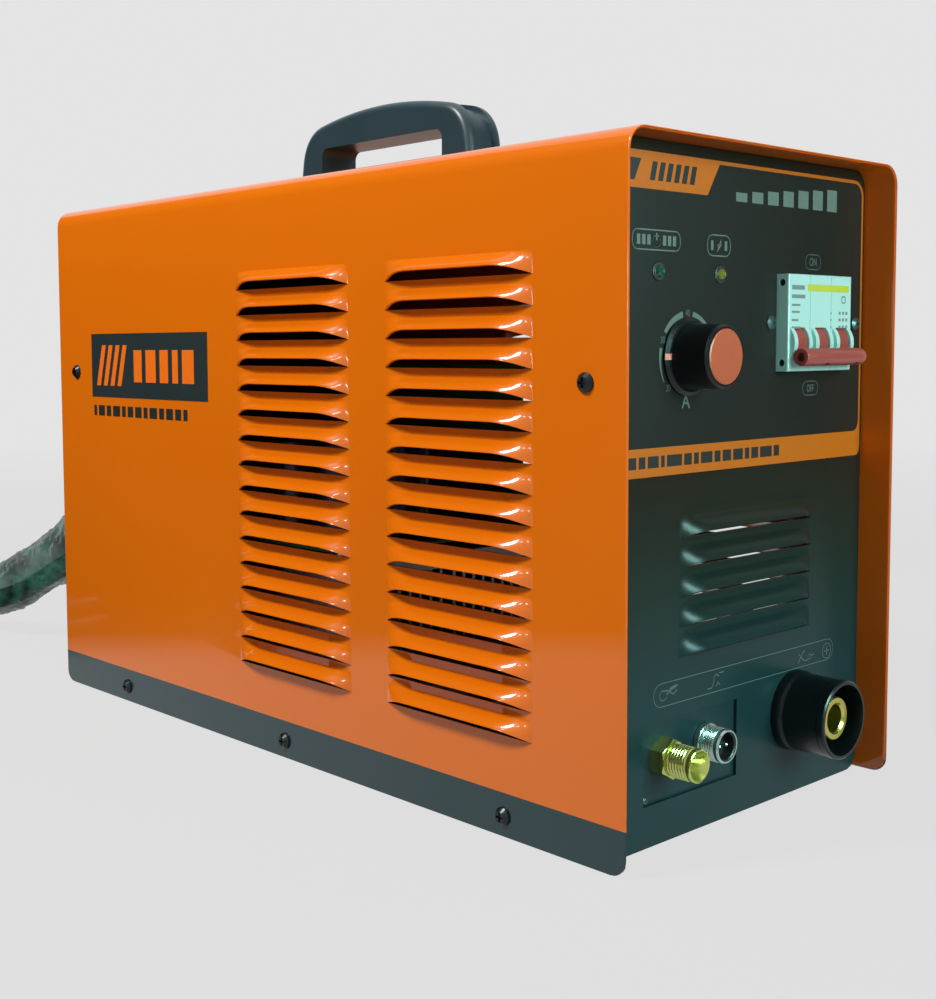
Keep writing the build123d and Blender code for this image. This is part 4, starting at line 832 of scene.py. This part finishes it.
# the strip of signs over the connectors: torch, gas, clamp and plus
stripShapes = frameLine(-63.6, 78.6, 60.3, 70.5, 5.1, 0.34)
strokes = (
    (arc(-57, 65.2, 2.4, 120, 330, 12), 0.45), ([(-58.2, 67.3), (-52.5, 66.6), (-48, 67.6)], 0.5),
    ([(-54.6, 65.2), (-52.5, 66.2), (-50, 64.6), (-47.4, 66.0)], 0.5), ([(-52, 67.4), (-47.2, 68.2)], 0.9),
    ([(-25, 62.4), (-22, 62.4), (-20.4, 64.6), (-20.4, 67), (-18.4, 68.2), (-16.6, 67)], 0.45),
    ([(-16.4, 68.4), (-13, 68.4)], 0.45), ([(-18.4, 62.6), (-17.2, 64.4), (-15.8, 62.9)], 0.45),
    ([(47.8, 62.4), (50.6, 66.2), (53.2, 67.8)], 0.45), ([(48.2, 66.6), (53.2, 62.8), (56, 62.8)], 0.45),
    (arc(57.6, 64.2, 1.3, 0, 360, 10), 0.4), ([(59, 64.6), (61.4, 64.9)], 0.45),
    (arc(72.9, 64.8, 3.7, 0, 360, 24), 0.5), ([(70.9, 64.8), (74.9, 64.8)], 0.6),
    ([(72.9, 62.8), (72.9, 66.8)], 0.6))
for points, width in strokes:
    stripShapes += stroke(points, width)
lineInk = printFinish("line print", (80, 118, 112))
printOn("strip_signs", stripShapes, lineInk, onFront(panelFace))

# side badges: a dark plate with slanted stripes and a row of bars, and dashes below it
dress(grained("badge film", (18, 2), (36, 46, 46), (42, 54, 54), roughness=0.3, specular_ior_level=0.5),
      "side_badges")
badgeLow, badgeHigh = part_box("side_badges")
brightInk = printFinish("badge orange", (226, 106, 14))
badgeShapes = [[(x, 7), (x + 4.6, 7), (x + 11.6, 31.5), (x + 7, 31.5)]
               for x in (6 + 8.2 * i for i in range(4))]
badgeShapes += dashes(50, (9, 11, 9, 6, 12), 0, 4.4, 9.5, 28.5)
dashShapes = dashes(1.5, (5, 9, 7, 10, 6, 8, 9, 6, 10, 7, 9, 8, 6), 1.7, 0.6, -11.6, -5.2)


def onSide(side, lift):
    # places on a side wall, from the lower corner of the badge that is on the viewer's left
    def place(x, z, out):
        y = badgeHigh[1] - x if side < 0 else badgeLow[1] + x
        return (side * (halfWidth + lift + out), y, badgeLow[2] + z)
    return place


for side, name in ((-1, "left"), (1, "right")):
    printOn(name + "_badge_print", badgeShapes, brightInk, onSide(side, badgeThick))
    printOn(name + "_badge_line", dashShapes, darkInk, onSide(side, 0))
print("printing done")

# knob, lamps and breaker

dress(grained("knob plastic", (70, 2), (14, 20, 22), (20, 28, 30), ((700, 2), 0.05, 0.0002),
              roughness=0.3, specular_ior_level=0.32), "knob")
dress(grained("knob cap", (90, 2), (172, 80, 32), (182, 88, 38), roughness=0.42), "knob_cap")
dress(grained("pointer paint", (800, 1), (236, 140, 110), (246, 170, 140), roughness=0.5), "knob_pointer")


def lampFinish(name, deep, bright):
    made = Finish(name, roughness=0.08, coat_weight=0.5, coat_roughness=0.03)
    # painted light through the dome: the lens is lighter where it faces the viewer and deeper towards its rim
    facingGlow = made.node("ShaderNodeLayerWeight", inputs={"Blend": 0.4}, output="Facing")
    return made.set("base_color", made.blend(facingGlow, tint(*bright), tint(*deep)))


dress(lampFinish("green lens", (10, 56, 42), (24, 104, 72)), "power_lamp")
dress(lampFinish("yellow lens", (70, 88, 24), (124, 146, 48)), "fault_lamp")
blackPlastic = grained("black plastic", (50, 2), (18, 22, 23), (26, 31, 32), ((1200, 2), 0.12, 0.0002),
                       roughness=0.42)
dress(blackPlastic, "lamp_bezels", "control_socket_insert", "fan_frame", "fan_rotor", "cable_gland",
      "valve_coil", "cable_tie", "plug_body")

dress(grained("breaker plastic", (40, 3), (166, 228, 218), (174, 236, 226), ((900, 2), 0.05, 0.0002),
              roughness=0.38, specular_ior_level=0.45), "breaker_body")
breakerRed = grained("breaker red", (60, 2), (146, 70, 60), (160, 82, 70), roughness=0.36)
dress(breakerRed, "breaker_levers")

# the tie bar across the three levers, hollow at its left end and notched below, in mm
tie = {"radius": 4.1, "shorter": 3.0, "reach": 15.1, "hollow": 2.1, "hollowDepth": 4, "round": 0.7,
       "notches": (17.4, 43), "notchWidth": 2.6, "notchDepth": 1.3, "notchAt": 250, "notchHalf": 24}
hingeAt = Vector(next(joint["pos_m"] for joint in frame["joints"] if joint["name"] == "breaker_throw"))
tieLow, tieHigh = (Vector(corner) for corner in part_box("breaker_tie_bar"))
tieLength = (tieHigh.x - tieLow.x) / mm - 2 * tie["shorter"]
toTie = (tieLow + tieHigh) / 2 - hingeAt
toTie.x = 0
tieCentre = hingeAt + toTie.normalized() * tie["reach"] * mm


def notched(angle):
    fromNotch = abs((degrees(angle) - tie["notchAt"] + 180) % 360 - 180)
    return tie["radius"] - (tie["notchDepth"] if fromNotch < tie["notchHalf"] else 0)


thick, rounded, soft = tie["radius"], tie["round"], 0.2
tieProfile = [(0, tie["hollowDepth"]), (tie["hollow"], tie["hollowDepth"]), (tie["hollow"], 0),
              (thick - rounded, 0), (thick - soft, soft), (thick, rounded)]
for start in tie["notches"]:
    end = start + tie["notchWidth"]
    tieProfile += [(thick, start - 0.02), (notched, start), (notched, end), (thick, end + 0.02)]
tieProfile += [(thick, tieLength - rounded), (thick - soft, tieLength - soft), (thick - rounded, tieLength),
               (0, tieLength)]
tieStand = facing((tieLow.x + tie["shorter"] * mm, tieCentre.y, tieCentre.z), (1, 0, 0))
addPiece("tie_bar", turned(tieProfile, tieStand, 60), breakerRed,
         body="breaker_lever", replaced=("breaker_tie_bar",), bend=32)

breakerProud = 6.5 * mm      # how far its face stands out of the panel
stripeInk = printFinish("breaker stripe", (176, 206, 70))
markInk = printFinish("breaker marks", (112, 142, 138))
onBreaker = onFront(panelFace - breakerProud)
printOn("breaker_stripe", [bar(breakerX0 + 15.5, breakerX1 - 2.5, 240.6, 243.8)], stripeInk,
        onBreaker)
marks = [bar(breakerX0 + 2.6, breakerX0 + 13, 241.2, 243.2)]
for z, wide, tall in ((237.2, 11, 1.7), (233.6, 7, 1), (230.4, 6.4, 1), (226.6, 5.4, 1), (223.2, 7.2, 1)):
    marks.append(bar(breakerX0 + 2.6, breakerX0 + 2.6 + wide, z, z + tall))
marks += frameLine(breakerX1 - 8.6, breakerX1 - 5.6, 235.6, 238.6, 0.8, 0.5)
for z in (230.0, 226.8, 223.4):
    for x in (breakerX1 - 11.2 + 3 * i for i in range(3)):
        marks.append(bar(x, x + 1.8, z, z + 1.4))
    marks.append(bar(breakerX1 - 18.4, breakerX1 - 17.6, z, z + 1.2))
printOn("breaker_marks", marks, markInk, onBreaker)

# the two pockets for screws in each side of the breaker, each a dark disc of painted shade sunk into the side
pocketShadeInk = printFinish("screw pocket shade", (18, 36, 34), 0.25)
pockets = {"radius": 1.66, "fromPanel": 2.9, "deep": 1.19, "heights": (breakerZ0 + 4, breakerZ1 - 4)}
pocketShadeDiscs = [arc(0, height, pockets["radius"], 0, 350, 24) for height in pockets["heights"]]


def onEdge(edge, sign):
    # places on a side of the breaker, measured from the line of the pockets
    return lambda x, z, out: (
        edge * mm + sign * (out - pockets["deep"] * mm), panelFace - pockets["fromPanel"] * mm + x, z)


for name, edge, sign in (("left", breakerX0, -1), ("right", breakerX1, 1)):
    printOn(name + "_breaker_pocket_shade", pocketShadeDiscs, pocketShadeInk, onEdge(edge, sign))
print("controls dressed")

# metal parts

brass = grained("brass", (90, 3), (176, 168, 70), (206, 200, 112), ((500, 3, (1, 0.2, 1)), 0.08, 0.0002),
                metallic=1.0, roughness=0.26)
nickel = grained("nickel plate", (60, 3), (150, 178, 170), (186, 212, 204), ((600, 2), 0.06, 0.0002),
                 metallic=0.85, roughness=0.24)
zinc = grained("zinc plate", (30, 4), (160, 166, 168), (196, 202, 204), ((400, 3, (1, 0.15, 1)), 0.1, 0.0003),
               metallic=0.9, roughness=0.4)
blackScrew = grained("blackened screw", (500, 2), (20, 26, 28), (38, 46, 48), metallic=0.5, roughness=0.3)
dullSteel = grained("dull screw", (400, 3), (66, 88, 88), (92, 116, 114), metallic=0.6, roughness=0.35)
dress(dullSteel, "panel_screws")
dress(brass, "work_socket_contact", "work_socket_nut", "gas_inlet", "valve_body")
dress(nickel, "panel_nuts", "control_socket_pins", "pot_shaft", "board_standoffs", "plug_pins")
dress(zinc, "base_pan", "plated_screws", "potentiometer", "breaker_bracket", "fan_guard", "earth_stud",
      "heatsink_rails", "valve_plunger")
dress(blackScrew, "cover_screws", "fan_screws")


def threadOf(radius, depth, pitch, start, end, steps=10):
    # rows of a screw thread, each a (radius, height), with the ridge's place set by the angle
    rows = []
    count = max(2, round((end - start) / pitch * steps))
    for row in range(count + 1):
        height = start + (end - start) * row / count
        easing = min(1, row / steps, (count - row) / steps)

        def reach(angle, height=height, easing=easing):
            phase = (height / pitch - angle / (2 * pi)) % 1
            ridge = min(1, 1.35 * abs(2 * phase - 1))
            return radius - depth * (1 - ridge * easing)
        rows.append((reach, height))
    return rows


def hexOf(flats, thickness, bevel):
    # rows of a hexagon whose front corners are turned off
    def side(angle):
        return flats / 2 / cos((angle + pi / 6) % (pi / 3) - pi / 6)
    rows = [(side, 0.0)]
    for share in (0, 0.2, 0.4, 0.6, 0.8, 1):
        height = thickness - bevel * (1 - share)
        limit = flats / 2 + (1 - share) * bevel * 1.73
        rows.append((lambda angle, limit=limit: min(side(angle), limit), height))
    return rows


def addFitting(name, profile, node, finish, replaced=()):
    # a part turned about the line out of the panel through the middle of a node
    x, z = middleOf(node)
    stand = facing((x * mm, plateFace, z * mm), (0, -1, 0))
    addPiece(name, turned(profile, stand, 96, True), finish, replaced=replaced, bend=32)


# the torch connector: a hexagon, a thread and a flared mouth, through the small plate, in mm
torch = {"hex": 15.8, "hexHeight": 7.2, "hexBevel": 1.0, "thread": 14.9, "threadEnd": 17.8, "depth": 0.62,
         "pitch": 1.5, "nose": 20.4, "bore": 2.5, "shank": 6.1, "back": -14, "cone": 7.4,
         # out from the thread's crest and on from the nose
         "lip": ((-0.05, -1.9), (0.05, -1.2), (-0.15, -0.3), (-0.5, 0), (-0.9, -0.1))}
plateFace = panelFace + panel["sheet"]
bore, nose, foot, crest = torch["bore"], torch["nose"], torch["hexHeight"], torch["thread"] / 2
torchProfile = [(bore, torch["back"]), (torch["shank"], torch["back"]), (torch["shank"], -0.01)]
torchProfile += hexOf(torch["hex"], foot, torch["hexBevel"]) + [(crest - torch["depth"], foot + 0.05)]
torchProfile += threadOf(crest, torch["depth"], torch["pitch"], foot + 0.3, torch["threadEnd"])
torchProfile += [(crest - torch["depth"] * 0.6, torch["threadEnd"] + 0.3)]
torchProfile += [(crest + out, nose + on) for out, on in torch["lip"]]
torchProfile += [(bore + 0.5, nose - torch["cone"]), (bore, nose - torch["cone"] - 0.2)]
brightBrass = grained("turned brass", (120, 3), (168, 180, 88), (206, 218, 134), ((700, 3), 0.06, 0.0001),
                      metallic=0.82, roughness=0.22)
addFitting("torch_fitting", torchProfile, "torch_connector", brightBrass, ("torch_connector",))

# the control socket: a collar and a finely threaded tube around the insert, in mm
control = {"collar": 8.6, "collarHeight": 3.0, "thread": 15.6, "threadEnd": 10.3, "depth": 0.35, "pitch": 0.9,
           "nose": 12.5, "inner": 6.62, "shank": 6.1, "back": -10, "wall": 1.4, "floor": 1.0}
collar, foot, shank, inner, nose = (
    control[key] for key in ("collar", "collarHeight", "shank", "inner", "nose"))
tube = control["thread"] / 2
controlProfile = [(shank - control["wall"], control["back"]), (shank, control["back"]), (shank, -0.01),
                  (collar - 0.3, 0.0), (collar, 0.4), (collar, foot - 0.4), (collar - 0.4, foot),
                  (tube - control["depth"], foot + 0.05)]
controlProfile += threadOf(tube, control["depth"], control["pitch"], foot + 0.2, control["threadEnd"], 8)
controlProfile += [(tube - 0.15, nose - 1.9), (tube - 0.1, nose - 0.7), (tube - 0.5, nose),
                   (inner + 0.1, nose), (inner, nose - 0.3), (inner, control["floor"]),
                   (shank - control["wall"], control["floor"])]
addFitting("control_fitting", controlProfile, "control_socket", nickel, ("control_socket",))
insertFace = (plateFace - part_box("control_socket_insert")[0][1]) / mm
linerOut, linerIn = inner - 0.04, inner - 0.55
linerProfile = [(linerIn, insertFace), (linerOut, insertFace), (linerOut, nose - 0.5), (linerIn, nose - 0.9)]
addFitting("control_liner", linerProfile, "control_socket", blackPlastic)

dress(grained("socket plastic", (45, 2), (5, 17, 20), (9, 25, 28), ((500, 2), 0.06, 0.0002), roughness=0.34,
              coat_weight=0.08, coat_roughness=0.12, specular_ior_level=0.28), "work_socket_housing")
handleFinish = grained("handle plastic", (25, 3), (30, 52, 60), (38, 62, 70), roughness=0.36,
                       specular_ior_level=0.5)
handleFinish.relief(handleFinish.grain(1600, 2) + handleFinish.grain(150, 2) * 0.5, 0.10, 0.0003)
dress(handleFinish, "handle")

# inside

dress(grained("aluminium", (200, 2, (1, 0.05, 1)), (176, 180, 182), (200, 203, 205),
              metallic=1.0, roughness=0.42), "heatsinks")
boardGreen = Finish("circuit board", roughness=0.4)
boardGreen.set("base_color", boardGreen.node("ShaderNodeTexBrick", inputs={
    "Scale": 60.0, "Mortar Size": 0.03, "Color1": tint(26, 84, 50), "Color2": tint(32, 96, 56),
    "Mortar": tint(60, 130, 80)}))
dress(boardGreen, "main_board", "control_board")
dress(grained("capacitor sleeve", (40, 2), (24, 30, 62), (32, 40, 78), roughness=0.25), "bus_capacitors")
dress(grained("ferrite", (300, 3), (52, 52, 54), (70, 70, 72), roughness=0.8), "transformer_core")
dress(grained("winding", (120, 2, (1, 8, 1)), (150, 84, 40), (206, 134, 74),
              ((260, 1, (1, 6, 1)), 0.5, 0.001), roughness=0.35, metallic=0.4),
      "transformer_winding", "output_choke")
dress(grained("gas hose", (60, 2), (36, 74, 150), (46, 90, 172), roughness=0.3), "gas_hose")

# a dark screen in front of the fan, in mm: a sheet of painted shade that keeps the view into the case through
# the louvres dark
screen = {"thick": 0.6, "gap": 0.3, "inset": 2, "corner": 5, "weave": 260.0}
shadeScreenFinish = Finish("shade screen", roughness=0.8, specular_ior_level=0.15)
weave = shadeScreenFinish.node("ShaderNodeTexWave", inputs={"Scale": screen["weave"]}) * shadeScreenFinish.node(
    "ShaderNodeTexWave", {"bands_direction": "Z"}, {"Scale": screen["weave"]})
shadeScreenFinish.set("base_color", shadeScreenFinish.blend(weave, tint(10, 11, 11), tint(36, 38, 38)))
shadeScreenFinish.relief(weave, 0.4, 0.0004)
x0, x1, z0, z1 = boxOf("fan_frame")
inset = screen["inset"]
corners = inMetres(roundBar(x0 + inset, x1 - inset, z0 + inset, z1 - inset, screen["corner"]))
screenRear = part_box("fan_frame")[0][1] - screen["gap"] * mm
screenPoints = [(x, y, z) for y in (screenRear - screen["thick"] * mm, screenRear) for x, z in corners]
count = len(corners)
caps = [tuple(range(count)), tuple(range(2 * count - 1, count - 1, -1))]
addPiece("fan_screen", meshOf(screenPoints, caps + walls(0, count)), shadeScreenFinish)
print("inside dressed")
